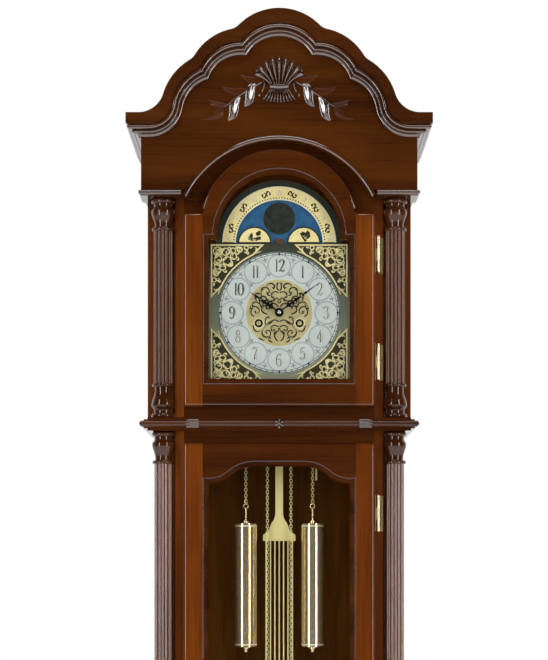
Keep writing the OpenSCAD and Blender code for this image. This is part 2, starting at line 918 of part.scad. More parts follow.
module hood_front_frame() {
    color("#2c1409") difference() {
        union() {
            translate([0, 0, z_hood]) linear_extrude(hood_h) frame_plan(hood_x);
            plate(frame_f - frame_t, frame_f) box2(-arch_cut_x, z_frieze, arch_cut_x, roof_z);
            plate(dial_f - dial_t - 6, frame_f - frame_t) box2(-170, dial_z - 150, 170, moon_z + 150);
        }
        plate(dial_f - dial_t, far) dial_opening(dial_plate_x + 0.5, glass_arch_r + 18);
        plate(0, far) dial_opening(dial_plate_x - 10, moon_ring_r + 4);
        magnet_pockets([hood_door_z + 60, door_shoulder_z - 60]);
    }
}

module hood_side_panels() {
    color("#42200f") both_sides() {
        translate([hood_x - side_t, -block_f, z_hood]) cube([side_t, block_f + back_y, hood_h]);
        translate([hood_x - side_t, -frieze_f + pediment_t, z_frieze + soffit_h])
            cube([frieze_x - hood_x + side_t, frieze_f - pediment_t + back_y, roof_z - z_frieze - soffit_h]);
        translate([hood_x - side_t, -block_f, z_frieze]) cube([side_t, block_f + back_y, soffit_h]);
    }
}

module seatboard() {
    x = hood_x - side_t;
    color("#6b4a2c") difference() {
        translate([-x, -block_f + 4, seat_z]) cube([2 * x, block_f + 76, seat_t]);
        both_sides() {
            translate([left_run_x, -chain_f, 0]) cylinder(r = 8, h = far * 3, center = true);
            translate([free_run_x, -chain_f, 0]) cylinder(r = 8, h = far * 3, center = true);
        }
        translate([-60, pendulum_y - 11, 0]) cube([120, 22, far * 3]);
        translate([chime_x - 8, chime_y - 8, 0]) cube([chime_pitch * (chime_n - 1) + 16, 16, far * 3]);
    }
}

// Doors

// Centre of the small fillets at the shoulders of the hood door
shoulder_c = corner_c([0, door_arch_z], arch_r, door_shoulder_z, door_shoulder_r);

// Round edge of a door: material in (distance inwards, forward)
module door_edge() {
    box2(0, door_back_f, edge_r + 0.5, door_front_f - edge_r);
    intersection() {
        disc([edge_r, door_front_f - edge_r], edge_r);
        box2(0, door_front_f - edge_r - 1, edge_r + 0.5, door_front_f);
    }
}

// Square-cornered door with round edges, filled in the middle
module square_door(z0, z1) {
    intersection() {
        translate([0, 0, z0]) linear_extrude(z1 - z0) mirror([0, 1]) {
            box2(-door_x + edge_r, door_back_f, door_x - edge_r, door_front_f);
            both2() translate([door_x, 0]) mirror([1, 0]) door_edge();
        }
        along_x(-door_x, door_x) {
            box2(-door_front_f, z0 + edge_r, -door_back_f, z1 - edge_r);
            translate([0, z0]) rotate(90) door_edge();
            translate([0, z1]) rotate(90) mirror([1, 0]) door_edge();
        }
    }
}

// Arched head of the hood door, standing on its shoulders
module arched_head() {
    c = [0, door_arch_z];
    m = shoulder_c;
    low = door_shoulder_z - edge_r - 4;
    turn(0, c[1], heading(c, m), 180 - heading(c, m)) translate([arch_r, 0]) mirror([1, 0]) door_edge();
    both_sides() turn(m[0], m[1], heading(m, c) + 360, 270) translate([door_shoulder_r, 0]) door_edge();
    plate(door_back_f, door_front_f) mirrored_outline(concat(
        arc(c, arch_r - edge_r - 0.3, 90, heading(c, m)),
        arc(m, door_shoulder_r + edge_r + 0.3, heading(m, c), -90),
        [[m[0], low]]
    ));
}

// Moulded lip of a glass opening in (distance inwards, forward): what is cut away
module lip_cut(reach) {
    f = door_front_f;
    difference() {
        box2(0, rebate_f - 1, reach, f + 1);
        box2(0, rebate_f - 2, lip_w, f - lip_deep);
        box2(0, rebate_f - 2, lip_w - 2.5, f - lip_deep + 2);
        disc([1.2, f - 3.2], 2.6);
        difference() {
            box2(0, rebate_f - 2, lip_w - 2.5, f - 3.4);
            disc([lip_w - 2.5, f - 3.4], 5.2);
        }
    }
}

// Hollow of a square opening with moulded lips, cut from the front
module square_bowl(x, z0, z1) {
    intersection() {
        translate([0, 0, z0]) linear_extrude(z1 - z0) both2() mirror([0, 1])
            translate([x, 0]) mirror([1, 0]) lip_cut(x + 1);
        along_x(-x, x) {
            translate([0, z0]) rotate(90) lip_cut((z1 - z0) / 2 + 1);
            translate([0, z1]) rotate(90) mirror([1, 0]) lip_cut((z1 - z0) / 2 + 1);
        }
    }
}

// Hollow of a round opening with a moulded lip
module round_bowl(x, z, r, a0, a1) {
    turn(x, z, a0, a1) translate([r, 0]) mirror([1, 0]) lip_cut(r);
}

module hood_door_opening(g) {
    box2(-glass_w / 2 - g, hood_glass_z - g, glass_w / 2 + g, hood_glass_shoulder + g);
    disc([0, glass_arch_z], glass_arch_r + g);
}

module hood_door_frame() {
    color("#42200f") difference() {
        union() {
            square_door(hood_door_z, door_shoulder_z);
            arched_head();
        }
        square_bowl(glass_w / 2 + lip_w, hood_glass_z - lip_w, hood_glass_shoulder + lip_w);
        round_bowl(0, glass_arch_z, glass_arch_r + lip_w, 0, 360);
        plate(0, rebate_f) hood_door_opening(rebate_w);
    }
}

module hood_door_glass() {
    color("#dfe8ea", 0.3) plate(rebate_f - glass_t, rebate_f) hood_door_opening(rebate_w - glass_gap);
}

// Moulded lip of a glass opening in (distance inwards, forward)
module lip_profile() {
    f = door_front_f;
    box2(0, door_back_f, lip_w, f - lip_deep);
    box2(0, door_back_f, lip_w - 2.5, f - lip_deep + 2);
    intersection() {
        disc([1.2, f - 3.2], 2.6);
        box2(0, f - 8, lip_w, f);
    }
    difference() {
        box2(0, door_back_f, lip_w - 2.5, f - 3.4);
        disc([lip_w - 2.5, f - 3.4], 5.2);
    }
}

// Lengths of lip round the trunk door's opening, mitred at its corners
module trunk_lips() {
    x = glass_w / 2;
    z0 = trunk_glass_z;
    z1 = trunk_glass_top - ogee_drop;
    hair = joint_gap / ogee_r * 180 / PI;
    inner = [x, z1];
    outer = [x + lip_w, z1 + ogee_r - sqrt(pow(ogee_r - lip_w, 2) - lip_w * lip_w)];
    far_end = inner + 1.6 * (outer - inner);
    near_end = inner - 0.25 * (outer - inner);
    along_x(-ogee_flat, ogee_flat)
        translate([0, trunk_glass_top + lip_w]) rotate(90) mirror([1, 0]) lip_profile();
    intersection() {
        along_x(-far, far) translate([0, z0 - lip_w]) rotate(90) lip_profile();
        plate(0, far) translate([0, -1.5 * joint_gap])
            polygon([[-x - 20, z0 - 20], [x + 20, z0 - 20], [x - 3, z0 + 3], [3 - x, z0 + 3]]);
    }
    both_sides() {
        turn(ogee_flat, trunk_glass_top - ogee_r, 90 - ogee_a + hair, 90 - hair)
            translate([ogee_r + lip_w, 0]) mirror([1, 0]) lip_profile();
        intersection() {
            turn(x, z1 + ogee_r, 270 - ogee_a + hair, 300) translate([ogee_r - lip_w, 0]) lip_profile();
            plate(0, far) translate([-1.5 * joint_gap, 0])
                polygon([near_end, far_end, [x + 20, z1 + 60], [x - 80, z1 + 60], [x - 80, z1 - 10]]);
        }
        intersection() {
            linear_extrude(far * 3) mirror([0, 1]) translate([x + lip_w, 0]) mirror([1, 0]) lip_profile();
            plate(0, far) polygon([[x - 3, z0 + 3], [x + 20, z0 - 20], far_end, near_end]);
        }
    }
}

module trunk_door_frame() {
    color("#42200f") difference() {
        union() {
            difference() {
                square_door(trunk_door_z, trunk_door_top);
                plate(0, far) trunk_opening(lip_w + joint_gap);
            }
            trunk_lips();
        }
        plate(0, rebate_f) trunk_opening(rebate_w);
    }
}

module trunk_door_glass() {
    color("#dfe8ea", 0.3) plate(rebate_f - glass_t, rebate_f) trunk_opening(rebate_w - glass_gap);
}

// Hinges, at the middle heights given

module barrel(z0, z1) {
    translate([pin_x, -pin_f, z0]) cylinder(r = barrel_r, h = z1 - z0);
}

module case_hinge(z) {
    third = hinge_h / 3;
    for (s = [-1, 1]) {
        barrel(z + s * third - third / 2, z + s * third + third / 2);
        translate([pin_x, -pin_f, z + s * third - third / 2]) cube([leaf_t, pin_f - frame_f, third]);
    }
    translate([pin_x, -frame_f - leaf_t, z - hinge_h / 2]) cube([niche_x - pin_x, leaf_t, hinge_h]);
    translate([pin_x, -pin_f, z - hinge_h / 2]) cylinder(r = pin_r, h = hinge_h);
}

module door_hinge(z) {
    third = hinge_h / 3 - 2 * knuckle_gap;
    difference() {
        union() {
            barrel(z - third / 2, z + third / 2);
            translate([door_x, -pin_f, z - third / 2]) cube([pin_out, leaf_t, third]);
            translate([door_x, -pin_f, z - hinge_h / 2]) cube([leaf_t, door_t - 3, hinge_h]);
        }
        translate([pin_x, -pin_f, z - hinge_h]) cylinder(r = pin_r + run_gap, h = 2 * hinge_h);
    }
}

module case_hinges() {
    color("#c9a24a") for (z = concat(hood_hinge_z, trunk_hinge_z)) case_hinge(z);
}

module hood_door_hinges() {
    color("#c9a24a") for (z = hood_hinge_z) door_hinge(z);
}

module trunk_door_hinges() {
    color("#c9a24a") for (z = trunk_hinge_z) door_hinge(z);
}

module magnet_pockets(heights) {
    for (z = heights) arbor(-magnet_x, z, magnet_r, frame_f - magnet_t, frame_f + 1);
}

module door_magnets() {
    color("#9a9da0") for (z = [hood_door_z + 60, door_shoulder_z - 60, trunk_door_z + 180, trunk_door_top - 120])
        arbor(-magnet_x, z, magnet_r, frame_f - magnet_t, frame_f);
}

// Dial

module dial_plate() {
    color("#b99b57") plate(dial_f - dial_t, dial_f) difference() {
        union() {
            box2(-dial_plate_x, dial_z - dial_plate_x, dial_plate_x, moon_z);
            disc([0, moon_z], dial_arch_r);
        }
        difference() {
            disc([0, moon_z], sky_r);
            box2(-far, 0, far, moon_z);
            both2() disc([hump_x, moon_z], hump_r);
        }
        disc([0, dial_z], 7);
    }
}

module chapter_ring() {
    color("#d5d8dc") plate(dial_f, dial_f + ring_t) difference() {
        disc([0, dial_z], ring_r);
        disc([0, dial_z], ring_in_r);
    }
}

module dial_centre() {
    color("#c8a24d") {
        plate(dial_f, dial_f + centre_t) difference() {
            disc([0, dial_z], ring_in_r - 0.1);
            disc([0, dial_z], 7);
        }
        both_sides() {
            arbor(winder_x, winder_z, 4.5, dial_f + centre_t, dial_f + centre_t + 1.2);
            arbor(winder_x, winder_z, 2.2, dial_f + centre_t, dial_f + centre_t + 4);
        }
    }
}

// Corner ornament: three-sided plate with a border, and rings on its sunk field
module spandrel_outline(g) {
    a = spandrel_x - g;
    l = 107 - 3.4 * g;
    difference() {
        polygon([[a, a], [a - l, a], [a, a - l]]);
        disc([0, 0], ring_r + 4 + g);
    }
}

module spandrel_scrolls() {
    for (q = spandrel_rings) {
        translate([spandrel_x - q[0], spandrel_x - q[1]]) difference() {
            circle(q[2]);
            circle(q[2] - scroll_w);
        }
    }
}

module corner_spandrels() {
    color("#c8a24d") for (i = [0:3]) {
        translate([0, 0, dial_z]) rotate([0, 90 * i, 0]) {
            difference() {
                plate(dial_f, dial_f + spandrel_t) spandrel_outline(0);
                plate(dial_f + spandrel_field_t, dial_f + far) difference() {
                    spandrel_outline(spandrel_border);
                    spandrel_scrolls();
                }
            }
        }
    }
}

module moon_arch() {
    color("#c8a24d") {
        plate(dial_f, dial_f + 1.6) difference() {
            disc([0, moon_z], moon_ring_r);
            disc([0, moon_z], sky_r);
            box2(-far, 0, far, moon_z + 3);
        }
        both_sides() plate(dial_f, dial_f + 1.2) intersection() {
            disc([hump_x, moon_z], hump_r);
            box2(-far, moon_z + 3, far, moon_z + far);
        }
    }
}

module moon_disc() {
    color("#274f7a") {
        plate(dial_f - dial_t - moon_gap - moon_disc_t, dial_f - dial_t - moon_gap) difference() {
            disc([0, moon_z], moon_disc_r);
            disc([0, moon_z], 2.5 + run_gap);
        }
    }
}

// Movement

// Toothed outline: straight-sided teeth, thinned for backlash
module teeth_outline(n, m, start) {
    rp = m * n / 2;
    add = 0.9 * m;
    ded = 1.25 * m;
    half = 90 / n * 0.84;
    slope = 20;
    lean = function(h) h * tan(slope) / rp * 180 / PI;
    polygon([for (i = [0:n - 1]) for (k = [
        [rp - ded, -half - lean(ded)], [rp + add, -half + lean(add)],
        [rp + add, half - lean(add)], [rp - ded, half + lean(ded)]
    ]) let (a = start + 360 / n * i + k[1]) [k[0] * cos(a), k[0] * sin(a)]]);
}

// Wheel with five crossings, at forward f
module wheel(x, z, n, m, f, t, start, hub_r) {
    rim = m * n / 2 - 1.25 * m - 3;
    translate([x, 0, z]) plate(f, f + t) difference() {
        teeth_outline(n, m, start);
        difference() {
            circle(rim);
            circle(hub_r);
            for (i = [0:4]) rotate(72 * i + 18) translate([0, -1.6]) square([rim + 1, 3.2]);
        }
    }
}

module pinion(x, z, n, m, f0, f1, start) {
    translate([x, 0, z]) plate(f0, f1) teeth_outline(n, m, start);
}

// Two plates, with the pillars riveted between them and the studs
module movement_frame() {
    color("#c9a95b") {
        difference() {
            plate(plate_f - plate_t, plate_f) box2(-plate_x, plate_z0, plate_x, plate_z1);
            arbor_holes();
        }
        difference() {
            plate(back_plate_f - plate_t, back_plate_f) box2(-plate_x, plate_z0, plate_x, plate_z1);
            arbor_holes();
        }
        arbor(motion_x, motion_z, stud_r, plate_f, hour_wheel_f + 7);
        arbor(0, moon_z, 2.5, plate_f, dial_f - dial_t - moon_gap);
        arbor(hammer_x, hammer_z, stud_r, back_plate_f - plate_t - 12, back_plate_f - plate_t);
        both_sides() {
            for (z = [plate_z0 + 14, plate_z1 - 14]) arbor(pillar_x, z, pillar_r, back_plate_f, plate_f - plate_t);
            for (z = [plate_z0 + 14, dial_z + 20]) arbor(pillar_x, z, pillar_r - 1, plate_f, dial_f - dial_t);
        }
    }
}

module arbor_holes() {
    for (p = [[0, dial_z], [0, third_z], [0, escape_z], [0, anchor_z], [chain_x, chain_z], [-chain_x, chain_z]]) {
        arbor(p[0], p[1], arbor_r + run_gap, -far, far);
    }
}

module centre_wheel() {
    color("#c9a95b") {
        arbor(0, dial_z, arbor_r, back_plate_f - plate_t, plate_f + 1);
        wheel(0, dial_z, centre_teeth, train_m, centre_wheel_f, wheel_t, 90, 7);
        pinion(0, dial_z, cannon_teeth, motion_m, motion_f, motion_f + motion_wheel_t + 1, motion_a);
        arbor(0, dial_z, cannon_r, plate_f + 0.5, minute_f - 0.2);
        arbor(0, dial_z, 2, minute_f - 1, minute_f + hand_t + 1);
    }
}

module motion_wheel() {
    s = motion_a + 180;
    color("#c9a95b") difference() {
        union() {
            wheel(motion_x, motion_z, minute_teeth, motion_m, motion_f + 0.5, motion_wheel_t, s + 180 / minute_teeth, 7);
            pinion(motion_x, motion_z, pinion_teeth, hour_m, motion_f + 1, hour_wheel_f + 5, s + 180 / pinion_teeth);
        }
        arbor(motion_x, motion_z, stud_r + run_gap, 0, far);
    }
}

module hour_wheel() {
    color("#c9a95b") difference() {
        union() {
            wheel(0, dial_z, hour_teeth, hour_m, hour_wheel_f, hour_wheel_t, motion_a, 8);
            arbor(0, dial_z, hour_pipe_r, hour_wheel_f, hour_f - 0.2);
        }
        arbor(0, dial_z, cannon_r + run_gap, 0, far);
    }
}

module third_wheel() {
    color("#c9a95b") {
        arbor(0, third_z, arbor_r, back_plate_f - plate_t, plate_f);
        pinion(0, third_z, train_pinion, train_m, centre_wheel_f - 2, centre_wheel_f + 4, 270 + 180 / train_pinion);
        wheel(0, third_z, third_teeth, train_m, third_wheel_f, wheel_t, 90, 6);
    }
}

module escape_wheel() {
    color("#c9a95b") {
        arbor(0, escape_z, arbor_r, back_plate_f - plate_t, plate_f);
        pinion(0, escape_z, train_pinion, train_m, third_wheel_f - 2, third_wheel_f + 4, 270 + 180 / train_pinion);
        translate([0, 0, escape_z]) plate(escape_wheel_f, escape_wheel_f + wheel_t) difference() {
            polygon([for (i = [0:escape_teeth - 1]) for (k = [[escape_r - 4, 0.6], [escape_r, 4.4], [escape_r, 5.4],
                [escape_r - 4, 8]]) let (a = 12 * i + k[1] + 3) [k[0] * cos(a), k[0] * sin(a)]]);
            difference() {
                circle(escape_r - 7);
                circle(5);
                for (i = [0:3]) rotate(90 * i) translate([0, -1.3]) square([escape_r, 2.6]);
            }
        }
    }
}

// Anchor with its two pallets, and the crutch behind the back plate
module anchor_and_crutch() {
    reach = escape_r + 1.4;
    drop = anchor_z - escape_z;
    color("#8a8d91") {
        arbor(0, anchor_z, arbor_r, back_plate_f - plate_t - 8, plate_f);
        translate([0, 0, anchor_z]) plate(escape_wheel_f - 1, escape_wheel_f + wheel_t + 1) difference() {
            union() {
                circle(6);
                both2() {
                    polygon([[-2, -5], [3, 3], [20, -9], [21.5, -17], [18.6, -19.4], [16.5, -11], [4, -3]]);
                }
            }
            translate([0, -drop]) circle(reach);
        }
        translate([0, 0, anchor_z]) plate(back_plate_f - plate_t - 8, back_plate_f - plate_t - 6) {
            box2(-3, -84, 3, 0);
            circle(6);
        }
        for (s = [-1, 1]) translate([s * (stick_w / 2 + 2) - 1.2, 36, anchor_z - 84]) cube([2.4, 16, 6]);
        translate([-stick_w / 2 - 3.2, 34, anchor_z - 84]) cube([stick_w + 6.4, 3, 6]);
    }
}

module suspension_cock() {
    y = plate_t - back_plate_f;
    color("#c9a95b") {
        translate([-16, y, anchor_z + 6]) cube([32, 30, 8]);
        translate([-16, y, anchor_z - 2]) cube([6, 30, 16]);
        translate([10, y, anchor_z - 2]) cube([6, 30, 16]);
        for (s = [-1, 1]) translate([-10, pendulum_y + 7 * s - 1, anchor_z - 2]) cube([20, 2, 10]);
    }
    color("#8a8d91") arbor(0, anchor_z, 2, -pendulum_y - 8, -pendulum_y + 8);
}

module left_chain_wheel() {
    chain_wheel(-chain_x);
}

module right_chain_wheel() {
    chain_wheel(chain_x);
}

// Chain wheel with its great wheel on one arbor
module chain_wheel(x) {
    groove = chain_r - link_r - 0.3;
    color("#c9a95b") {
        arbor(x, chain_z, arbor_r, back_plate_f - plate_t, plate_f);
        wheel(x, chain_z, 72, 0.85, chain_f + 6, wheel_t, 0, 8);
        arbor(x, chain_z, groove, chain_f - 3, chain_f + 3);
        arbor(x, chain_z, groove + 1.5, chain_f - 5.5, chain_f - 3.2);
        arbor(x, chain_z, groove + 1.5, chain_f + 3.2, chain_f + 6);
        arbor(x, chain_z, groove - 2, chain_f - 5, chain_f + 5);
    }
}

// Hands

module hand_place(a) {
    translate([0, 0, dial_z]) rotate([0, a, 0]) children();
}

// Half outline through stations of (share of the length, half width)
function hand_line(l, stations) = concat(
    [for (i = [0:len(stations) - 2]) each [for (q = blend(stations[i], stations[i + 1], 6)) [q[0], q[1] * l]]],
    [[stations[len(stations) - 1][1], l]]
);

// Serpentine outline with pierced lobes, given as (share of the length, offset, radius), and a pierced ring
module hand_outline(l, boss_r, bore_r, stations, lobes, ring) {
    difference() {
        union() {
            circle(boss_r);
            mirrored_outline(hand_line(l, stations));
        }
        circle(bore_r);
        for (q = lobes) {
            both2() disc([q[1], q[0] * l], q[2]);
        }
        disc([0, ring[0] * l], ring[1]);
    }
}

module minute_hand() {
    color("#16130f") hand_place(minute_a) plate(minute_f, minute_f + hand_t)
        hand_outline(minute_l, minute_boss_r, 2.05, minute_line, minute_lobes, [0.555, 2.5]);
}

module hour_hand() {
    color("#16130f") hand_place(hour_a) plate(hour_f, hour_f + hand_t)
        hand_outline(hour_l, hour_boss_r, cannon_r + run_gap, hour_line, hour_lobes, [0.66, 2.2]);
}

// Chime rods in their cast block, and the hammer

module chime_rods() {
    color("#3d3f42") translate([chime_x - 14, chime_y - 9, chime_block_z])
        cube([chime_pitch * (chime_n - 1) + 28, back_y - chime_y + 9, 22]);
    color("#c9a24a") for (i = [0:chime_n - 1]) {
        translate([chime_x + chime_pitch * i, chime_y, chime_tip_z + 44 * i])
            cylinder(r = chime_r, h = chime_block_z + e - chime_tip_z - 44 * i);
    }
}

module strike_hammer() {
    f = back_plate_f - plate_t;
    head_z = chime_block_z - 16;
    color("#c9a95b") {
        difference() {
            translate([hammer_x, 0, 0]) plate(f - 8, f - 4) {
                disc([0, hammer_z], 6);
                box2(-3, head_z, 3, hammer_z);
            }
            arbor(hammer_x, hammer_z, stud_r + run_gap, -far, far);
        }
        translate([hammer_x - 2, -f + 6, head_z - 2]) cube([4, chime_y + f - 6, 4]);
    }
    color("#6d6f72") translate([chime_x - chime_r - hammer_gap - 14, chime_y, head_z]) rotate([0, 90, 0])
        cylinder(r = 6, h = 14);
}

// Pendulum

module pendulum_rod() {
    top = anchor_z - 22;
    y = pendulum_y;
    span = rod_pitch * (rods - 1);
    color("#c9a24a") {
        translate([0, y, anchor_z]) difference() {
            rotate([90, 0, 0]) translate([0, 0, -4]) union() {
                cylinder(r = 6, h = 8);
                translate([-4, -26, 0]) cube([8, 26, 8]);
            }
            rotate([90, 0, 0]) cylinder(r = 2 + run_gap, h = 40, center = true);
        }
        translate([-stick_w / 2, y - stick_t / 2, bracket_z1 - 2]) cube([stick_w, stick_t, top - bracket_z1 + 2]);
        translate([0, y + 3, 0]) rotate([90, 0, 0]) linear_extrude(6) difference() {
            polygon([
                [-stick_w / 2, bracket_z1], [stick_w / 2, bracket_z1], [22.5, 1083], [bracket_w / 2, 1075],
                [bracket_w / 2, bracket_z0], [-bracket_w / 2, bracket_z0], [-bracket_w / 2, 1075], [-22.5, 1083]
            ]);
            both2() disc([40, 1121], 32.15);
        }
        for (i = [0:rods - 1]) {
            translate([rod_pitch * i - span / 2, y, bob_z + bob_r])
                cylinder(r = rod_r, h = bracket_z0 + 1 - bob_z - bob_r);
        }
        translate([-bracket_w / 2, y - 3, bob_z + bob_r + 3]) cube([bracket_w, 6, lower_bracket_h]);
        translate([0, y + bob_t / 2 + 0.3 + 2, bob_z - bob_r - 34]) cylinder(r = 2, h = bob_r * 2 + 52);
        translate([-4, y - 3, bob_z + bob_r + 5]) cube([8, bob_t / 2 + 7.3, 8]);
    }
}

module pendulum_bob() {
    n = 10;
    rim = 3;
    color("#d4ad55") translate([0, pendulum_y, bob_z]) rotate([90, 0, 0]) rotate_extrude() polygon(concat(
        [for (i = [0:n]) let (a = 90 * i / n) [bob_r * sin(a), rim + (bob_t / 2 - rim) * cos(a)]],
        [for (i = [n:-1:0]) let (a = 90 * i / n) [bob_r * sin(a), -rim - (bob_t / 2 - rim) * cos(a)]]
    ));
    color("#c9a24a") translate([0, pendulum_y + bob_t / 2 + 2.3, bob_z - bob_r - 24]) difference() {
        cylinder(r = 9, h = 9);
        translate([0, 0, -1]) cylinder(r = 2 + run_gap, h = 12);
    }
}

// Weights, hanging at a distance to the right of the middle

module weight(x) {
    color("#d4ad55") translate([x, -chain_f, weight_top - weight_l]) {
        translate([0, 0, 4]) cylinder(r = weight_r, h = weight_l - 8);
        cylinder(r = weight_r - 1.2, h = weight_l);
        translate([0, 0, -4]) cylinder(r = 7, h = 5);
        translate([0, 0, -finial_h]) cylinder(r = 3.5, h = finial_h);
        translate([0, 0, weight_l]) cylinder(r = 6, h = 6);
        translate([0, 0, weight_l]) cylinder(r = 1.8, h = hook_h - 12);
        translate([0, 0, weight_l + hook_h - 8]) rotate([90, 0, 0]) rotate_extrude() translate([4.6, 0]) circle(1.2);
    }
}

module left_weight() {
    weight(-left_run_x);
}

module right_weight() {
    weight(left_run_x);
}

// Runs of chain, each a plain rod over the width of its links
module weight_chain(x) {
    z0 = weight_top + hook_h - 2.2;
    color("#c9a24a") translate([x, -chain_f, z0]) cylinder(r = link_r, h = chain_z - z0);
}

module left_weight_chain() {
    weight_chain(-left_run_x);
}

module right_weight_chain() {
    weight_chain(left_run_x);
}

// Half turns of chain over the wheels
module chain_turns() {
    color("#c9a24a") both_sides() translate([chain_x, -chain_f, chain_z]) rotate([90, 0, 0])
        rotate_extrude(angle = 180) translate([chain_r, 0]) circle(link_r);
}

// Free run with the ring at its lower end
module free_chain(side) {
    color("#c9a24a") {
        translate([side * free_run_x, -chain_f, tail_z]) cylinder(r = link_r, h = chain_z - tail_z);
        translate([side * free_run_x, -chain_f, tail_z - 9]) rotate([90, 0, 0]) rotate_extrude()
            translate([9, 0]) circle(1.6);
    }
}

module left_free_chain() {
    free_chain(-1);
}

module right_free_chain() {
    free_chain(1);
}

backboard();
base_skirt();
levelling_feet();
bottom_board();
base_front_panel();
base_side_panels();
lower_waist_moulding();
trunk_front_frame();
trunk_side_panels();
trunk_column_shafts();
trunk_column_turnings();
waist_moulding();
hood_front_frame();
hood_side_panels();
hood_column_shafts();
hood_column_turnings();
pediment_board();
cornice_moulding();
cornice_returns();
frieze_base_moulding();
hood_roof();
pediment_carving();
seatboard();
dial_plate();
chapter_ring();
dial_centre();
corner_spandrels();
moon_arch();
movement_frame();
chain_turns();
chime_rods();
suspension_cock();
case_hinges();
door_magnets();
hood_door_frame();
hood_door_glass();
hood_door_hinges();
trunk_door_frame();
trunk_door_glass();
trunk_door_hinges();
minute_hand();
centre_wheel();
hour_hand();
hour_wheel();
motion_wheel();
third_wheel();
escape_wheel();
anchor_and_crutch();
moon_disc();
strike_hammer();
left_chain_wheel();
right_chain_wheel();
pendulum_rod();
pendulum_bob();
left_weight();
right_weight();
left_weight_chain();
right_weight_chain();
left_free_chain();
right_free_chain();
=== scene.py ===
import math
import random

import bmesh
import bpy
from mathutils import Matrix, Vector


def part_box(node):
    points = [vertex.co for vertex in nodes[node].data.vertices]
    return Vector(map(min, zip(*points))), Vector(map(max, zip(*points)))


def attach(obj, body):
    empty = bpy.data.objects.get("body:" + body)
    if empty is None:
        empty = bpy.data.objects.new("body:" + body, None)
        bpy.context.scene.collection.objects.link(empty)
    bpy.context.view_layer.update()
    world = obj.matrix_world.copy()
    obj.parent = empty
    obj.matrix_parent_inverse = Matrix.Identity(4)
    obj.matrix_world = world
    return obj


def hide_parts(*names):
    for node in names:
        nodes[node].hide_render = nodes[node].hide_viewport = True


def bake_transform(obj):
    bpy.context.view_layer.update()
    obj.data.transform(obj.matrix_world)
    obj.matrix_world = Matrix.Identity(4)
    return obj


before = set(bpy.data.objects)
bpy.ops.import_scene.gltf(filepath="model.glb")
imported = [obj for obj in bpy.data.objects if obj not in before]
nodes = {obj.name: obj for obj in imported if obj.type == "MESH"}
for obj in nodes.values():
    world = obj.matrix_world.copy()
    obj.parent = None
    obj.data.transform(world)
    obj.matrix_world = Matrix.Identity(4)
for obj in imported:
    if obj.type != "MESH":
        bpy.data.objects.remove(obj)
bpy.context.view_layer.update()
bpy.context.scene.view_settings.view_transform = "Standard"
mm = 0.001
forward = (math.radians(90), 0, 0)      # turns what lies flat to face the front
print("frame loaded:", len(nodes), "nodes")


# small helpers

def setMode(mode):
    bpy.ops.object.mode_set(mode=mode)


def clearSelection():
    if bpy.context.mode != "OBJECT":
        setMode("OBJECT")
    bpy.ops.object.select_all(action="DESELECT")


def pick(obj):
    clearSelection()
    obj.select_set(True)
    bpy.context.view_layer.objects.active = obj


def applyPlace(obj):
    pick(obj)
    bpy.ops.object.transform_apply(location=True, rotation=True, scale=True)


# a mesh primitive with its place applied; squash works about its own middle
def addShape(kind, squash=None, **values):
    clearSelection()
    getattr(bpy.ops.mesh, "primitive_%s_add" % kind)(**values)
    shape = bpy.context.object
    if squash:
        shape.scale = squash
    applyPlace(shape)
    return shape


def applyModifier(obj, kind, **values):
    pick(obj)
    modifier = obj.modifiers.new(kind.title(), kind)
    for key, value in values.items():
        setattr(modifier, key, value)
    bpy.ops.object.modifier_apply(modifier=modifier.name)


def joinPieces(pieces):
    clearSelection()
    for piece in pieces:
        piece.select_set(True)
    bpy.context.view_layer.objects.active = pieces[0]
    if len(pieces) > 1:
        bpy.ops.object.join()
    return pieces[0]


def copyPiece(obj, matrix):
    twin = obj.copy()
    twin.data = obj.data.copy()
    bpy.context.scene.collection.objects.link(twin)
    twin.data.transform(matrix)
    if matrix.determinant() < 0:
        twin.data.flip_normals()
    return twin


def removePiece(obj):
    bpy.data.objects.remove(obj, do_unlink=True)


# selects only those points of a piece in edit mode whose place passes the test
def selectPoints(obj, test):
    mesh = bmesh.from_edit_mesh(obj.data)
    for group in (mesh.verts, mesh.edges, mesh.faces):
        for item in group:
            item.select = False
    for point in mesh.verts:
        if test(point.co):
            point.select = True
    mesh.select_flush_mode()
    bmesh.update_edit_mesh(obj.data)


def finishPiece(obj, name, body, look, smooth=40):
    applyPlace(obj)
    bpy.ops.object.shade_smooth_by_angle(angle=math.radians(smooth))
    obj.name = name
    obj.data.materials.clear()
    obj.data.materials.append(finish[look])
    if body:
        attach(obj, body)


# materials

finish = {}


def startMaterial(name):
    material = bpy.data.materials.new(name)
    finish[name] = material
    material.use_nodes = True
    tree = material.node_tree
    return tree, tree.nodes["Principled BSDF"]


# a value is a number, a colour, or the output of another node
def setInputs(tree, node, values):
    for key, value in values.items():
        if hasattr(value, "is_output"):
            tree.links.new(value, node.inputs[key])
        else:
            node.inputs[key].default_value = value


def addNode(tree, kind, inputs=None, **values):
    made = tree.nodes.new("ShaderNode" + kind)
    for key, value in values.items():
        setattr(made, key, value)
    setInputs(tree, made, inputs or {})
    return made


def objectPlace(tree):
    return addNode(tree, "TexCoord").outputs["Object"]


def splitAxes(tree, vector):
    return addNode(tree, "SeparateXYZ", {"Vector": vector}).outputs


def stretchPlace(tree, size, axis=None, along=1):
    scale = [size] * 3
    if axis:
        scale["XYZ".index(axis)] = size * along
    return addNode(tree, "Mapping", {"Vector": objectPlace(tree), "Scale": scale}).outputs["Vector"]


def addNoise(tree, vector, scale, detail, **values):
    values.update({"Vector": vector, "Scale": scale, "Detail": detail})
    return addNode(tree, "TexNoise", values).outputs["Fac"]


def addMath(tree, operation, *terms):
    return addNode(tree, "Math", dict(enumerate(terms)), operation=operation).outputs[0]


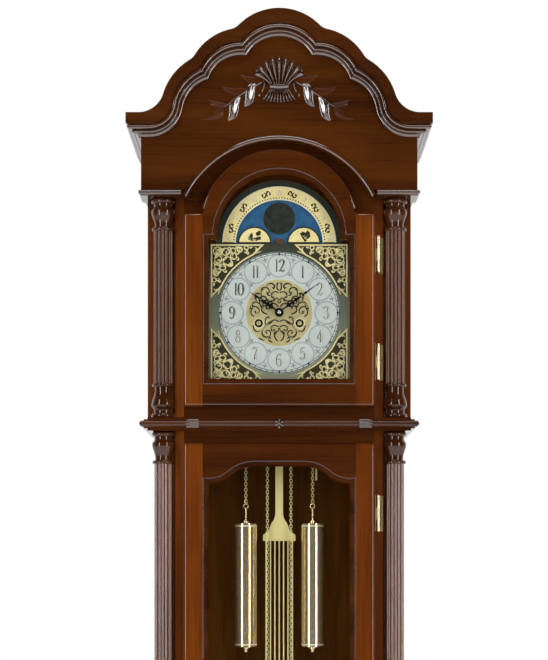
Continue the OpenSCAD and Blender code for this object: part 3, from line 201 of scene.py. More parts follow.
def addRange(tree, value, fromMin, fromMax, toMin, toMax):
    return addNode(tree, "MapRange", {"Value": value, "From Min": fromMin, "From Max": fromMax,
                                      "To Min": toMin, "To Max": toMax}).outputs["Result"]


# 1 for a ray of one of the kinds, 0 for any other
def seenBy(tree, *kinds):
    rays = [addNode(tree, "LightPath").outputs["Is %s Ray" % kind] for kind in kinds]
    while len(rays) > 1:
        rays.append(addMath(tree, "MAXIMUM", rays.pop(), rays.pop()))
    return rays[0]


def addRamp(tree, factor, stops):
    ramp = addNode(tree, "ValToRGB", {"Fac": factor})
    elements = ramp.color_ramp.elements
    while len(elements) < len(stops):
        elements.new(0.5)
    for element, (place, color) in zip(elements, stops):
        element.position = place
        element.color = (*color, 1)
    return ramp.outputs["Color"]


def addBump(tree, shader, height, strength, distance):
    bump = addNode(tree, "Bump", {"Height": height, "Strength": strength, "Distance": distance})
    tree.links.new(bump.outputs["Normal"], shader.inputs["Normal"])


woodLook = {
    "grain": "Z",           # runs along Z or X
    "stileFrom": None,      # farther than this from the middle (metres) the grain runs along Z
    "stileLight": 2.3,      # upright members catch more light than level ones
    "stileTop": (1.69, 1.74),   # heights where that light fades out
    "roughness": 0.42,
    "sheen": 0.03,          # specular level under the lacquer
    "coat": 1,
    "coatRoughness": 0.05,
    "coatIor": 1.56,
    # size of the pattern, share of it along the grain, noise settings
    "figure": (5, 0.16, {"scale": 2.4, "detail": 5, "Roughness": 0.5, "Distortion": 0.8}),
    "streak": (60, 0.03, {"scale": 1, "detail": 3}),
    "pores": (260, 0.03, {"scale": 1, "detail": 2}),
}


# tones go from dark to light
def woodFinish(name, tones, **changes):
    look = {**woodLook, **changes}
    tree, shader = startMaterial(name)

    def drawGrain(axis):
        return [addNoise(tree, stretchPlace(tree, size, axis, along), **noise)
                for size, along, noise in (look["figure"], look["streak"], look["pores"])]

    layers = drawGrain(look["grain"])
    if look["stileFrom"]:
        axes = splitAxes(tree, objectPlace(tree))
        stile = addMath(tree, "GREATER_THAN", addMath(tree, "ABSOLUTE", axes["X"]), look["stileFrom"])
        layers = [addNode(tree, "Mix", {0: stile, 2: level, 3: upright}, data_type="FLOAT").outputs[0]
                  for level, upright in zip(layers, drawGrain("Z"))]
    figure, streak, pores = layers
    tone = addMath(tree, "ADD", figure, addMath(tree, "MULTIPLY_ADD", streak, 0.22, -0.11))
    base = addRamp(tree, tone, list(zip((0.22, 0.5, 0.82), tones)))
    shade = addRamp(tree, pores, [(0.34, (0.55, 0.5, 0.45)), (0.5, (1, 1, 1))])
    color = addNode(tree, "Mix", {0: 0.5, 6: base, 7: shade}, data_type="RGBA",
                    blend_type="MULTIPLY").outputs[2]
    # painted light: upright stiles are painted brighter by stileLight, fading out between the stileTop heights
    if look["stileFrom"]:
        upright = addMath(tree, "MULTIPLY", stile, addRange(tree, axes["Z"], *look["stileTop"], 1, 0))
        brighter = addRange(tree, upright, 0, 1, 1, look["stileLight"])
        color = addNode(tree, "VectorMath", {0: color, "Scale": brighter}, operation="SCALE").outputs[0]
    # backs are left without lacquer
    facing = splitAxes(tree, addNode(tree, "TexCoord").outputs["Normal"])["Y"]
    setInputs(tree, shader, {
        "Base Color": color,
        "Specular IOR Level": look["sheen"],
        "Roughness": look["roughness"],
        "Coat Weight": addRange(tree, facing, 0.4, 0.8, look["coat"], 0.1 * look["coat"]),
        "Coat Roughness": look["coatRoughness"],
        "Coat IOR": look["coatIor"],
    })
    addBump(tree, shader, pores, 0.02, 0.0002)


metalLook = {
    "bumpSize": 300,
    "bump": 0.05,
    "brushed": None,    # X, Y or Z: the grain is stretched along it
    "metallic": 1,
    "vary": 1,          # how much the roughness changes from place to place
    "coat": 0,
}


def metalFinish(name, color, darker, roughness, **changes):
    look = {**metalLook, **changes}
    tree, shader = startMaterial(name)
    grain = addNoise(tree, stretchPlace(tree, look["bumpSize"], look["brushed"], 0.02), 1, 3)
    cloud = addNoise(tree, objectPlace(tree), 22, 4)
    low, high = roughness * (1 - 0.2 * look["vary"]), roughness * (1 + 0.3 * look["vary"])
    setInputs(tree, shader, {
        "Base Color": addRamp(tree, cloud, [(0.35, darker), (0.62, color)]),
        "Roughness": addRange(tree, grain, 0.3, 0.7, low, high),
        "Metallic": look["metallic"],
        "Coat Weight": look["coat"],
        "Coat IOR": 2,
        "Coat Roughness": 0.1,
    })
    addBump(tree, shader, grain, look["bump"], 0.0003)
    return tree, shader.inputs["Base Color"]


def paintFinish(name, color, darker, roughness, size=60, coat=0):
    tree, shader = startMaterial(name)
    cloud = addNoise(tree, objectPlace(tree), size, 5)
    setInputs(tree, shader, {
        "Base Color": addRamp(tree, cloud, [(0.38, darker), (0.6, color)]),
        "Roughness": roughness,
        "Specular IOR Level": 0.2,
        "Coat Weight": coat,
    })
    addBump(tree, shader, cloud, 0.05, 0.0003)


# gold that turns dark on faces set back behind the given depth (metres): painted shade in the recesses
def reliefFinish(name, color, darker, recessShade, shadeFront):
    tree, baseColor = metalFinish(name, color, darker, 0.3, bumpSize=900, metallic=0.3)
    deep = addMath(tree, "GREATER_THAN", splitAxes(tree, objectPlace(tree))["Y"], -shadeFront)
    gold = baseColor.links[0].from_socket
    mix = addNode(tree, "Mix", {0: deep, 6: gold, 7: (*recessShade, 1)}, data_type="RGBA")
    tree.links.new(mix.outputs[2], baseColor)


# brushed plate whose colour is painted darker from the height lowZ to highZ (metres): painted shade
def plateFinish(name, low, high, lowZ, highZ):
    tree, baseColor = metalFinish(name, low, low, 0.34, bumpSize=700, bump=0.03, brushed="X", metallic=0.5)
    share = addRange(tree, splitAxes(tree, objectPlace(tree))["Z"], lowZ, highZ, 0, 1)
    tree.links.new(addRamp(tree, share, [(0, low), (1, high)]), baseColor)


def glassFinish(name):
    tree, shader = startMaterial(name)
    tree.nodes.remove(shader)
    bump = addNode(tree, "Bump", {"Height": addNoise(tree, objectPlace(tree), 4, 1),
                                  "Strength": 0.02, "Distance": 0.001})
    clear = addNode(tree, "BsdfTransparent", {"Color": (0.95, 0.97, 0.96, 1)})
    gloss = addNode(tree, "BsdfGlossy", {"Roughness": 0.02, "Normal": bump.outputs["Normal"]})
    # only the side where light enters mirrors, or a slanting view turns black
    entering = addMath(tree, "SUBTRACT", 1, addNode(tree, "NewGeometry").outputs["Backfacing"])
    share = addMath(tree, "MULTIPLY", addNode(tree, "Fresnel", {"IOR": 1.3}).outputs[0], entering)
    mix = addNode(tree, "MixShader", {0: share, 1: clear.outputs[0], 2: gloss.outputs[0]})
    tree.links.new(mix.outputs[0], tree.nodes["Material Output"].inputs["Surface"])


walnutTones = ((0.017, 0.0032, 0.0003), (0.042, 0.0098, 0.0006), (0.075, 0.02, 0.0014))
framedTones = ((0.02, 0.0036, 0.0003), (0.048, 0.0105, 0.0006), (0.082, 0.0205, 0.0014))
# painted light: a copy of the walnut tones about twice as bright, for upright boards, as if they caught more
# light
litUprightTones = ((0.04, 0.008, 0.0006), (0.095, 0.023, 0.0012), (0.16, 0.044, 0.003))
# wood colour with painted sheen: paler, pinker tones for the trunk column shafts stand in for the white studio
# they mirror
columnSheenTones = ((0.055, 0.018, 0.009), (0.12, 0.044, 0.024), (0.175, 0.07, 0.042))
hoodColumnTones = ((0.03, 0.009, 0.003), (0.08, 0.027, 0.01), (0.135, 0.052, 0.022))
# painted light: the boards inside the case are painted much brighter than walnut, standing in for light that
# the case keeps out
litInsideTones = ((0.055, 0.0165, 0.0014), (0.115, 0.036, 0.0026), (0.17, 0.058, 0.005))
# painted shade: a darker copy of the walnut tones for the carving
shadedCarvedTones = ((0.012, 0.0026, 0.0003), (0.034, 0.0082, 0.0006), (0.06, 0.016, 0.0012))
beechTones = ((0.2, 0.12, 0.06), (0.36, 0.23, 0.13), (0.45, 0.31, 0.19))
woodFinish("walnutUprightLit", litUprightTones)
woodFinish("walnutLevel", walnutTones, grain="X")
woodFinish("walnutFramed", framedTones, grain="X", stileFrom=0.152)
woodFinish("walnutFrontFrame", framedTones, grain="X", stileFrom=0.19)
woodFinish("columnWood", columnSheenTones, sheen=0.5, roughness=0.3, coatIor=2)
woodFinish("hoodColumnWood", hoodColumnTones, sheen=0.1)
woodFinish("litInsideWood", litInsideTones, coat=0.1, roughness=0.5)
woodFinish("walnutBead", walnutTones, grain="X", coatIor=2, coatRoughness=0.1)
woodFinish("walnutNose", framedTones, grain="X", coatIor=1.42)
woodFinish("turnedWood", walnutTones, coatIor=1.46)
woodFinish("softCarvedWood", framedTones, grain="X", coat=0.2, coatRoughness=0.12)
woodFinish("shadedCarvedWood", shadedCarvedTones, grain="X", roughness=0.3, sheen=0.1, coatIor=2.05, coatRoughness=0.15)
woodFinish("beechBoard", beechTones, grain="X", coat=0)
metalFinish("polishedBrass", (0.94, 0.72, 0.43), (0.91, 0.68, 0.39), 0.16,
            bumpSize=80, bump=0, metallic=0.86, vary=0.12)
metalFinish("capBrass", (0.95, 0.82, 0.56), (0.9, 0.76, 0.5), 0.2, bumpSize=40, bump=0, metallic=0.4)
# painted reflection: almost no metal, so the bright yellow base colour stands in for the pale board that
# polished brass would mirror
metalFinish("pendulumBrass", (1, 0.82, 0.37), (0.99, 0.8, 0.35), 0.2,
            bumpSize=100, bump=0, metallic=0.05)
metalFinish("chainBrass", (1, 0.82, 0.38), (0.95, 0.74, 0.3), 0.14, bump=0, metallic=0.2, coat=0.3)
metalFinish("giltBrass", (0.6, 0.49, 0.255), (0.49, 0.385, 0.185), 0.3, bumpSize=900, metallic=0.4)
metalFinish("archGilt", (0.9, 0.73, 0.36), (0.81, 0.62, 0.28), 0.3, bumpSize=900, metallic=0.25)
reliefFinish("reliefGilt", (0.86, 0.71, 0.36), (0.74, 0.59, 0.27), (0.045, 0.036, 0.018), 0.0625)
paintFinish("darkGround", (0.03, 0.023, 0.011), (0.014, 0.011, 0.007), 0.45, size=400)
plateFinish("satinBrass", (0.34, 0.33, 0.23), (0.045, 0.047, 0.033), 1.45, 1.66)
metalFinish("movementBrass", (0.8, 0.64, 0.36), (0.7, 0.53, 0.27), 0.24, brushed="Z")
metalFinish("paleGilt", (0.84, 0.72, 0.42), (0.76, 0.63, 0.34), 0.22, bump=0.03, metallic=0.25)
metalFinish("silverGilt", (0.78, 0.73, 0.62), (0.7, 0.64, 0.52), 0.3, bump=0.03, metallic=0.3)
paintFinish("umberPaint", (0.1, 0.045, 0.02), (0.05, 0.022, 0.012), 0.5, size=200)
metalFinish("silveredRing", (0.52, 0.53, 0.515), (0.465, 0.475, 0.465), 0.42,
            bumpSize=1200, bump=0.04, metallic=0.2)
paintFinish("greyPrint", (0.14, 0.16, 0.19), (0.09, 0.1, 0.125), 0.5)
paintFinish("blackLacquer", (0.01, 0.0095, 0.009), (0.005, 0.005, 0.005), 0.25, coat=0.5)
paintFinish("skyBlue", (0.022, 0.088, 0.19), (0.014, 0.066, 0.155), 0.4, size=90)
paintFinish("darkMoon", (0.02, 0.021, 0.015), (0.007, 0.0075, 0.006), 0.6, size=70)
metalFinish("brightSteel", (0.62, 0.63, 0.65), (0.5, 0.51, 0.53), 0.25)
glassFinish("clearGlass")

nodeFinish = {
    "litInsideWood": "backboard bottom_board hood_roof",
    "walnutUprightLit": "trunk_side_panels hood_side_panels base_side_panels pediment_carving",
    "walnutNose": "lower_waist_moulding waist_moulding",
    "walnutLevel": "base_skirt base_front_panel pediment_board",
    "walnutBead": "cornice_moulding cornice_returns frieze_base_moulding",
    "turnedWood": "trunk_column_turnings hood_column_turnings",
    "walnutFramed": "hood_door_frame trunk_door_frame",
    "walnutFrontFrame": "trunk_front_frame hood_front_frame",
    "columnWood": "trunk_column_shafts",
    "hoodColumnWood": "hood_column_shafts",
    "beechBoard": "seatboard",
    "polishedBrass": "case_hinges hood_door_hinges trunk_door_hinges left_weight right_weight pendulum_bob",
    "pendulumBrass": "pendulum_rod chime_rods",
    "chainBrass": "left_weight_chain right_weight_chain left_free_chain right_free_chain chain_turns",
    "satinBrass": "dial_plate",
    "giltBrass": "dial_centre",
    "archGilt": "moon_arch",
    "reliefGilt": "corner_spandrels",
    "silveredRing": "chapter_ring",
    "movementBrass": "movement_frame suspension_cock centre_wheel hour_wheel motion_wheel third_wheel "
                     "escape_wheel strike_hammer left_chain_wheel right_chain_wheel",
    "blackLacquer": "minute_hand hour_hand",
    "skyBlue": "moon_disc",
    "brightSteel": "levelling_feet door_magnets anchor_and_crutch",
    "clearGlass": "hood_door_glass trunk_door_glass",
}
for key, names in nodeFinish.items():
    for name in names.split():
        mesh = nodes[name].data
        mesh.materials.clear()
        mesh.materials.append(finish[key])
bare = [name for name, obj in nodes.items() if obj.data.materials[0].name not in finish]
print("finishes on", len(nodes) - len(bare), "nodes; bare:", bare)


# camera and light

studio = {
    "distance": 3.5,
    "eyeLevel": 1.003,
    "lens": 93.65,
    "shift": (-0.0079, 0.3636),
    "stripAngle": 40,
    "stripDistance": 3.2,
    "floorSize": 14,
    "floorDown": 0.0002,
    "floorGlow": 0.45,      # for what the camera, gloss and glass see of it
    # the room behind the camera is dark, the white paper stands behind and beside the clock:
    # from and to which depth it turns white, and the level where it is dark
    "room": (-0.35, 0.3, 0.14),
    "mirroredRoom": (-0.05, 0.45, 0.008),
}
stripX = studio["stripDistance"] * math.sin(math.radians(studio["stripAngle"]))
stripY = studio["stripDistance"] * math.cos(math.radians(studio["stripAngle"]))
lamps = [
    # name, place, height it points at, size, watts, shows in gloss
    ("strip", (-stripX, -stripY, 1.9), 1.6, (0.36, 2.6), 42, True),
    ("strip", (stripX, -stripY, 1.9), 1.6, (0.36, 2.6), 42, True),
    ("overhead", (0, -1.6, 3.9), 1.6, (1.6, 0.7), 28, True),
    ("sideFill", (-3.4, -2.2, 1.5), 1.2, (1.6, 2.2), 26, False),
    ("sideFill", (3.4, -2.2, 1.5), 1.2, (1.6, 2.2), 26, False),
    ("frontFill", (0, -5.2, 1.7), 1.4, (2.6, 2), 52, False),
]

clearSelection()
bpy.ops.object.camera_add(location=(0, -studio["distance"], studio["eyeLevel"]), rotation=forward)
camera = bpy.context.object
camera.data.lens = studio["lens"]
camera.data.shift_x, camera.data.shift_y = studio["shift"]
camera.data.clip_end = 50
bpy.context.scene.camera = camera

for name, place, height, size, power, glossy in lamps:
    bpy.ops.object.light_add(type="AREA", location=place)
    lamp = bpy.context.object
    lamp.name = name
    lamp.data.shape = "RECTANGLE"
    lamp.data.size, lamp.data.size_y = size
    lamp.data.energy = power
    lamp.rotation_euler = (Vector((0, 0, height)) - Vector(place)).to_track_quat("-Z", "Y").to_euler()
    lamp.visible_glossy = glossy

world = bpy.data.worlds.new("studioWorld")
bpy.context.scene.world = world
world.use_nodes = True
tree = world.node_tree
depth = splitAxes(tree, addNode(tree, "TexCoord").outputs["Generated"])["Y"]
lit = addRange(tree, depth, *studio["room"], 1)
mirrored = addRange(tree, depth, *studio["mirroredRoom"], 1)
level = addNode(tree, "Mix", {0: seenBy(tree, "Glossy"), 2: lit, 3: mirrored}, data_type="FLOAT").outputs[0]
strength = addMath(tree, "MAXIMUM", level, seenBy(tree, "Camera", "Transmission"))
setInputs(tree, tree.nodes["Background"], {"Color": (1, 1, 1, 1), "Strength": strength})

floor = addShape("plane", size=studio["floorSize"], location=(0, 0, -studio["floorDown"]))
floor.name = "studioFloor"
tree, shader = startMaterial("paleFloor")
speck = addNoise(tree, objectPlace(tree), 40, 2)
seen = seenBy(tree, "Camera", "Glossy", "Transmission")
setInputs(tree, shader, {
    "Base Color": addRamp(tree, speck, [(0.3, (0.86, 0.86, 0.86)), (0.7, (0.9, 0.9, 0.9))]),
    "Roughness": 0.9,
    "Emission Color": (1, 1, 1, 1),
    "Emission Strength": addMath(tree, "MULTIPLY", seen, studio["floorGlow"]),
})
floor.data.materials.append(finish["paleFloor"])
print("camera and studio set")


# strokes: engraved and cast scrolls are drawn as lines of changing width

# a rounder line through a few (x, z, width) points
def smoothPath(points, steps=6):
    if len(points) < 3:
        return points
    ends = [points[0], *points, points[-1]]
    path = []
    for i in range(1, len(ends) - 2):
        for step in range(steps):
            t = step / steps
            path.append(tuple(
                b + 0.5 * t * (c - a + (2 * a - 5 * b + 4 * c - d) * t + (3 * b - a - 3 * c + d) * t * t)
                for a, b, c, d in zip(*ends[i - 1:i + 3])))
    path.append(points[-1])
    return path


def ringPath(x, z, radius, width, count=64):
    return [(x + radius * math.cos(math.tau * i / count), z + radius * math.sin(math.tau * i / count), width)
            for i in range(count)]


# the point at a radius from x, z, in degrees clockwise from twelve o'clock
def clockPoint(x, z, radius, degrees):
    angle = math.radians(degrees)
    return x + radius * math.sin(angle), z + radius * math.cos(angle)


def arcPath(x, z, radius, start, end, width, count=24):
    return [(*clockPoint(x, z, radius, start + (end - start) * i / count), width) for i in range(count + 1)]


# a spiral that starts at x, z along a heading in degrees and curls in to a round eye
def scrollPath(x, z, heading, size, turns, width, hand=1, count=16):
    path = []
    angle, px, pz = math.radians(heading), x, z
    for i in range(count + 1):
        t = i / count
        path.append((px, pz, width * (0.55 + 0.75 * math.sin(math.pi * min(1, t * 1.25)) ** 2)))
        reach = size * (1 - 0.86 * t) / count * 2.2
        angle += hand * math.radians(turns * 360) / count * (0.35 + 1.3 * t)
        px += reach * math.cos(angle)
        pz += reach * math.sin(angle)
    path[-1] = (*path[-1][:2], width * 1.25)
    return path


# turns clockwise by turn degrees about the origin, then moves
def placePath(path, x, z, turn=0, flip=1, size=1):
    c, s = math.cos(math.radians(turn)), math.sin(math.radians(turn))
    return [(x + size * (c * flip * px + s * pz), z + size * (-s * flip * px + c * pz), width)
            for px, pz, width in path]


# tubes of changing width, pressed flat onto the plane at forward distance front (mm)
def drawStrokes(paths, front, flat=0.35, closed=False, sides=1):
    clearSelection()
    bpy.ops.curve.primitive_bezier_curve_add(location=(0, 0, 0))
    obj = bpy.context.object
    curve = obj.data
    curve.splines.clear()
    curve.dimensions = "3D"
    curve.bevel_depth = mm
    curve.bevel_resolution = sides
    curve.use_fill_caps = True
    for path in paths:
        spline = curve.splines.new("POLY")
        spline.points.add(len(path) - 1)
        spline.use_cyclic_u = closed
        for point, (x, z, width) in zip(spline.points, path):
            point.co = (x * mm, 0, z * mm, 1)
            point.radius = max(width, 0.05)
    bpy.ops.object.convert(target="MESH")
    obj.scale = (1, flat, 1)
    obj.location = (0, -front * mm, 0)
    applyPlace(obj)
    return obj


# strokes as a piece of their own on the case
def addStrokes(name, paths, front, look, slotName="gilt_brass", **values):
    finishPiece(drawStrokes(paths, front, **values), name, "case", look)


# dial

dial = {
    "z": 1518,          # centre of the hands
    "ringFront": 61.5,
    "cartoucheAt": 94.4,
    "cartoucheR": 23.2,
    "trackOut": 120.6,
    "trackIn": 116.4,
    "figureHeight": 24,
    "figureWeight": 1.55,
    "litHours": range(2, 9),    # figures with a wide painted highlight
    "highlightWide": 0.42,           # of a stroke's width
    "highlightNarrow": 0.16,
}

digitStrokes = {
    "0": [[(0, .5, .7), (.17, .36, 1.2), (.22, 0, 1.5), (.17, -.36, 1.2), (0, -.5, .7), (-.17, -.36, 1.2),
           (-.22, 0, 1.5), (-.17, .36, 1.2), (0, .5, .7)]],
    "1": [[(-.07, .44, .9), (0, .5, 1.3)],
          [(0, .5, 1.5), (0, .42, 1), (0, 0, 1.1), (0, -.42, 1), (0, -.5, 1.7)]],
    "2": [[(-.19, .27, 1.7), (-.17, .37, .9), (-.02, .5, .7), (.18, .4, 1.3), (.19, .2, 1.4), (.04, -.1, 1),
           (-.22, -.46, .7)],
          [(-.24, -.47, .8), (-.1, -.4, 1.2), (.08, -.47, 1.2), (.2, -.45, .9), (.25, -.33, 1.3)]],
    "3": [[(-.19, .32, 1.6), (-.1, .47, .8), (.06, .49, .8), (.18, .34, 1.3), (.12, .12, 1), (-.06, .04, .6)],
          [(-.06, .04, .6), (.14, 0, 1), (.22, -.22, 1.5), (.1, -.46, 1), (-.1, -.48, .8),
           (-.2, -.32, 1.7)]],
    "4": [[(.08, .5, .8), (-.08, .14, .9), (-.25, -.16, .8)], [(-.25, -.18, .9), (.24, -.18, .9)],
          [(.1, .5, 1), (.1, -.1, 1.3), (.1, -.5, 1.6)]],
    "5": [[(-.13, .46, 1), (.05, .43, 1.2), (.2, .5, 1)], [(-.13, .46, .8), (-.17, .04, .9)],
          [(-.17, .04, .7), (.03, .14, .9), (.2, -.06, 1.4), (.18, -.32, 1.4), (0, -.5, .8), (-.17, -.44, .9),
           (-.2, -.32, 1.6)]],
    "6": [[(.17, .36, 1.5), (.08, .48, .8), (-.08, .42, .9), (-.2, .12, 1.3), (-.21, -.2, 1.4), (-.1, -.45, .9),
           (.06, -.48, .8), (.2, -.3, 1.3), (.18, -.08, 1.2), (.04, .05, .7), (-.12, -.02, .7),
           (-.2, -.18, .8)]],
    "7": [[(-.2, .34, 1.5), (-.18, .46, .9), (-.04, .47, 1.3), (.1, .41, 1.2), (.23, .49, .8)],
          [(.23, .49, .8), (.06, .12, 1), (-.03, -.2, 1.3), (-.04, -.5, 1.7)]],
    "8": [[(0, .04, 1), (-.15, .2, 1.2), (-.13, .4, 1), (0, .5, .7), (.13, .4, .9), (.15, .2, .8),
           (0, .04, .9), (-.18, -.16, 1), (-.18, -.36, 1.2), (0, -.5, .8), (.18, -.36, 1.3),
           (.18, -.16, 1.2), (0, .04, 1)]],
}
figureWide = 0.92       # width of a figure against the strokes above
digitStrokes["9"] = [[(-x, -z, width) for x, z, width in stroke] for stroke in digitStrokes["6"]]


# paths of a number round the origin
def figurePaths(number, height, weight=1, gap=0.42):
    letters = str(number)
    paths = []
    for i, letter in enumerate(letters):
        shift = (i - (len(letters) - 1) / 2) * gap * height
        if letters == "11":
            shift *= 0.72       # narrow figures stand closer
        for stroke in digitStrokes[letter]:
            paths.append([(x * height * figureWide + shift, z * height, width * weight)
                          for x, z, width in smoothPath(stroke)])
    return paths


# hour figures, each with a painted highlight: a pale stroke set off to the lower right
paths, highlightPaths = [], []
for hour in range(1, 13):
    x, z = clockPoint(0, dial["z"], dial["cartoucheAt"], hour * 30)
    share = dial["highlightWide"] if hour in dial["litHours"] else dial["highlightNarrow"]
    for path in figurePaths(hour, dial["figureHeight"], dial["figureWeight"]):
        path = placePath(path, x, z)
        paths.append(path)
        highlightPaths.append([(a + 0.5, b - 0.3, width * share) for a, b, width in path])
addStrokes("hourFigures", paths, dial["ringFront"] + 0.05, "blackLacquer", "black_steel", flat=0.3)
addStrokes("figureHighlights", highlightPaths, dial["ringFront"] + 0.5, "silverGilt", "black_steel", flat=0.5)

# two rings round each figure, and sprigs between the rings
rings, marks = [], []
sprig = [
    [(0, 0, .5), (0, 4.5, 1), (0, 8.5, .3)],
    [(0, 1, .4), (3, 3, .9), (6.5, 3.6, .3)],
    [(0, 1, .4), (-3, 3, .9), (-6.5, 3.6, .3)],
    [(0, 0, .4), (1.6, -2.4, .6), (3.4, -3.4, .25)],
    [(0, 0, .4), (-1.6, -2.4, .6), (-3.4, -3.4, .25)],
]
for hour in range(12):
    x, z = clockPoint(0, dial["z"], dial["cartoucheAt"], hour * 30)
    rings += [ringPath(x, z, dial["cartoucheR"], 0.45), ringPath(x, z, dial["cartoucheR"] - 1.7, 0.3)]
    # between the rings one sprig grows outwards and a smaller one inwards
    turn = hour * 30 + 15
    for reach, flip, size in ((107, 1, 0.95), (81, -1, 0.8)):
        for path in sprig:
            path = smoothPath([(a, b * flip, width) for a, b, width in path])
            marks.append(placePath(path, *clockPoint(0, dial["z"], reach, turn), turn=turn, size=size))
lines = drawStrokes(rings, dial["ringFront"], flat=0.4, closed=True)
leaves = drawStrokes(marks, dial["ringFront"], flat=0.3)
finishPiece(joinPieces([lines, leaves]), "ringEngraving", "case", "greyPrint")

# minute track
middle, front = dial["z"], dial["ringFront"]
circles = [ringPath(0, middle, dial["trackOut"], 0.85, 120), ringPath(0, middle, dial["trackIn"], 0.5, 120)]
rings = drawStrokes(circles, front, flat=0.3, closed=True)
ticks = []
for minute in range(60):
    # every fifth tick is a wedge that starts farther in
    innerWidth, outerWidth, longer = (0.75, 0.75, 0) if minute % 5 else (0.95, 1.9, 1.6)
    tick = [(0, dial["trackIn"] - longer, innerWidth), (0, dial["trackOut"], outerWidth)]
    ticks.append(placePath(tick, 0, middle, turn=minute * 6))
lines = drawStrokes(ticks, front, flat=0.35)
finishPiece(joinPieces([rings, lines]), "minuteTrack", "case", "blackLacquer")
print("chapter ring drawn")


# engraved centre of the dial

centre = {
    "front": 61.8,
    "weight": 1.3,
    "ringR": 66.5,
    # the round marks at both sides: place, radius of the gold ring, radii of the black rings that fill it as
    # painted shade
    "holeX": 41,
    "holeDown": 21,
    "holeR": 9.2,
    "holeShadeRadii": (6.4, 4.6, 2.8, 1.2),
}

handNut = {
    "front": 74.2,
    "radius": 3.6,
    "flat": 0.55,
    "washerFront": 74,
    "washerR": 4.6,
    "washerThick": 0.8,
}


# each line and its mirror image on the left
def bothWays(lines):
    return [placePath(line, 0, dial["z"], flip=side) for line in lines for side in (1, -1)]


lines = [
    # right half: (x, z, width) from the hub
    [(50, -8, 1.2), (57, -2, 1.8), (56, 8, 2.2), (48, 12, 1.8), (41, 7, 1.5), (42, 0, 1.5), (48, -1, 1.7),
     (48.5, 4, 2.6)],
    [(34, -33, 1.2), (35, -42, 2), (29, -49, 2.2), (21, -48, 1.8), (17.5, -41, 1.6), (21, -35.5, 1.5),
     (26.5, -37.5, 1.7), (25.5, -42, 2.6)],
    [(3, -57, 1.2), (9, -50, 1.8), (9.5, -42, 2.2), (3, -36, 1.6), (0.8, -30, 1)],
    [(14, -59, 1.4), (20, -56.5, 1.8), (21, -52, 1.4), (16.5, -50.5, 2.2)],
    [(1, -28, 1.2), (10, -26, 1.8), (17, -31, 1.8), (14, -37, 1.6), (9, -33.5, 2.2)],
    [(0.8, -18, 1.2), (9, -15, 1.8), (19, -20, 2.2), (27, -26, 1.6), (33, -33, 1)],
    [(26, -26, 1), (29, -18, 1.6), (26, -11, 2), (19, -9, 2.4)],
    [(38, -36, 1), (45, -38, 1.6), (51, -33, 1.8), (52.5, -25, 1.4)],
    [(24, -3, 1.4), (31, -1, 2), (36, 5, 1.8), (34, 12, 2.2), (27, 12.5, 1.8), (26, 7.5, 2.4)],
    [(36, 8, 1), (39, 17, 1.8), (47, 21, 2), (54, 17, 1.8), (53.5, 11.5, 2.4)],
    [(39, 18, 1), (40, 26, 1.8), (35, 32, 2.2), (28, 31, 1.8), (26, 25, 1.6), (31, 22.5, 2.6)],
    [(45, 24, 1), (49, 31, 1.8), (45, 38, 2), (39, 37, 2.4)],
    [(36, 34, 1), (37, 43, 1.8), (31, 49.5, 2.2), (23, 48.5, 1.8), (20.5, 42, 1.6), (25.5, 39, 2.6)],
    [(27, 51, 1), (22, 56.5, 1.8), (14, 57.5, 2.2), (9.5, 52.5, 1.8), (13, 48.5, 2.4)],
    [(1, 44, 1.2), (5, 50, 1.8), (4.5, 57, 2), (1, 60.5, 1)],
    [(1, 40, 1.2), (8, 41.5, 1.8), (15, 38, 2), (16, 31.5, 1.8), (10.5, 30, 2.4)],
    [(17, 34, 1), (22, 35, 1.6), (25, 38, 1)],
    [(0.8, 26, 1), (6, 29, 1.6), (12, 24.5, 2), (19, 22, 1.8), (24, 25, 1.2)],
    [(2, 12, 1.2), (8, 17.5, 1.8), (16, 17, 2), (22, 12.5, 1.2)],
    [(0, 19, 0.6), (3.4, 23, 1.8), (0, 27, 0.6)],
    [(42, -50, 0.6), (37, -53, 1.6), (30, -55.5, 0.6)],
    [(57, 15, 0.6), (59.5, 6, 1.4), (59, -4, 0.6)],
]
paths = [[(x, z, width * centre["weight"]) for x, z, width in smoothPath(line, 5)] for line in lines]
addStrokes("centreScrolls", bothWays(paths), centre["front"], "darkGround", flat=0.22)
glints = [[(x + 1.3, z - 1.3, width * 0.3) for x, z, width in line] for line in paths]
addStrokes("centreGlints", bothWays(glints), centre["front"] + 0.35, "paleGilt", flat=0.25)
holes = [(side * centre["holeX"], dial["z"] - centre["holeDown"]) for side in (-1, 1)]
rings = [ringPath(x, z, centre["holeR"], 1.9, 40) for x, z in holes]
rings.append(ringPath(0, dial["z"], centre["ringR"], 0.5, 96))
addStrokes("centreRings", rings, centre["front"], "paleGilt", flat=0.5, closed=True)
# painted shade: black rings fill the winding holes
holeShadeRings = [ringPath(x, z, radius, 2.3, 40) for x, z in holes for radius in centre["holeShadeRadii"]]
addStrokes("windingHoleShade", holeShadeRings, centre["front"] + 0.4, "blackLacquer", flat=0.35, closed=True)

# bright cap nut over the boss of the minute hand
z = dial["z"] * mm
nut = addShape("uv_sphere", squash=(1, handNut["flat"], 1), segments=24, ring_count=12,
               radius=handNut["radius"] * mm, location=(0, -handNut["front"] * mm, z))
washer = addShape("cylinder", vertices=32, radius=handNut["washerR"] * mm,
                  depth=handNut["washerThick"] * mm, rotation=forward,
                  location=(0, -handNut["washerFront"] * mm, z))
finishPiece(joinPieces([nut, washer]), "handNut", "minute_work", "brightSteel")
print("dial centre drawn")


# corner ornaments: gold scrolls over a field painted dark as shade

corner = {
    "edge": 137,        # half the width over the ornaments
    "margin": 4.5,      # kept free of scrolls inside the edge
    "ringR": 131.5,     # kept free of scrolls round the chapter ring
    "field": 61,
    "scrollWidth": 1.25,
    "borderFront": 62.8,
    "borderIn": 1.6,
    "borderReach": 104,
    "borderR": 128,
    "borderGap": 3.5,   # degrees between the curve's ends and the straight sides
}
quarters = (0, 90, 180, 270)

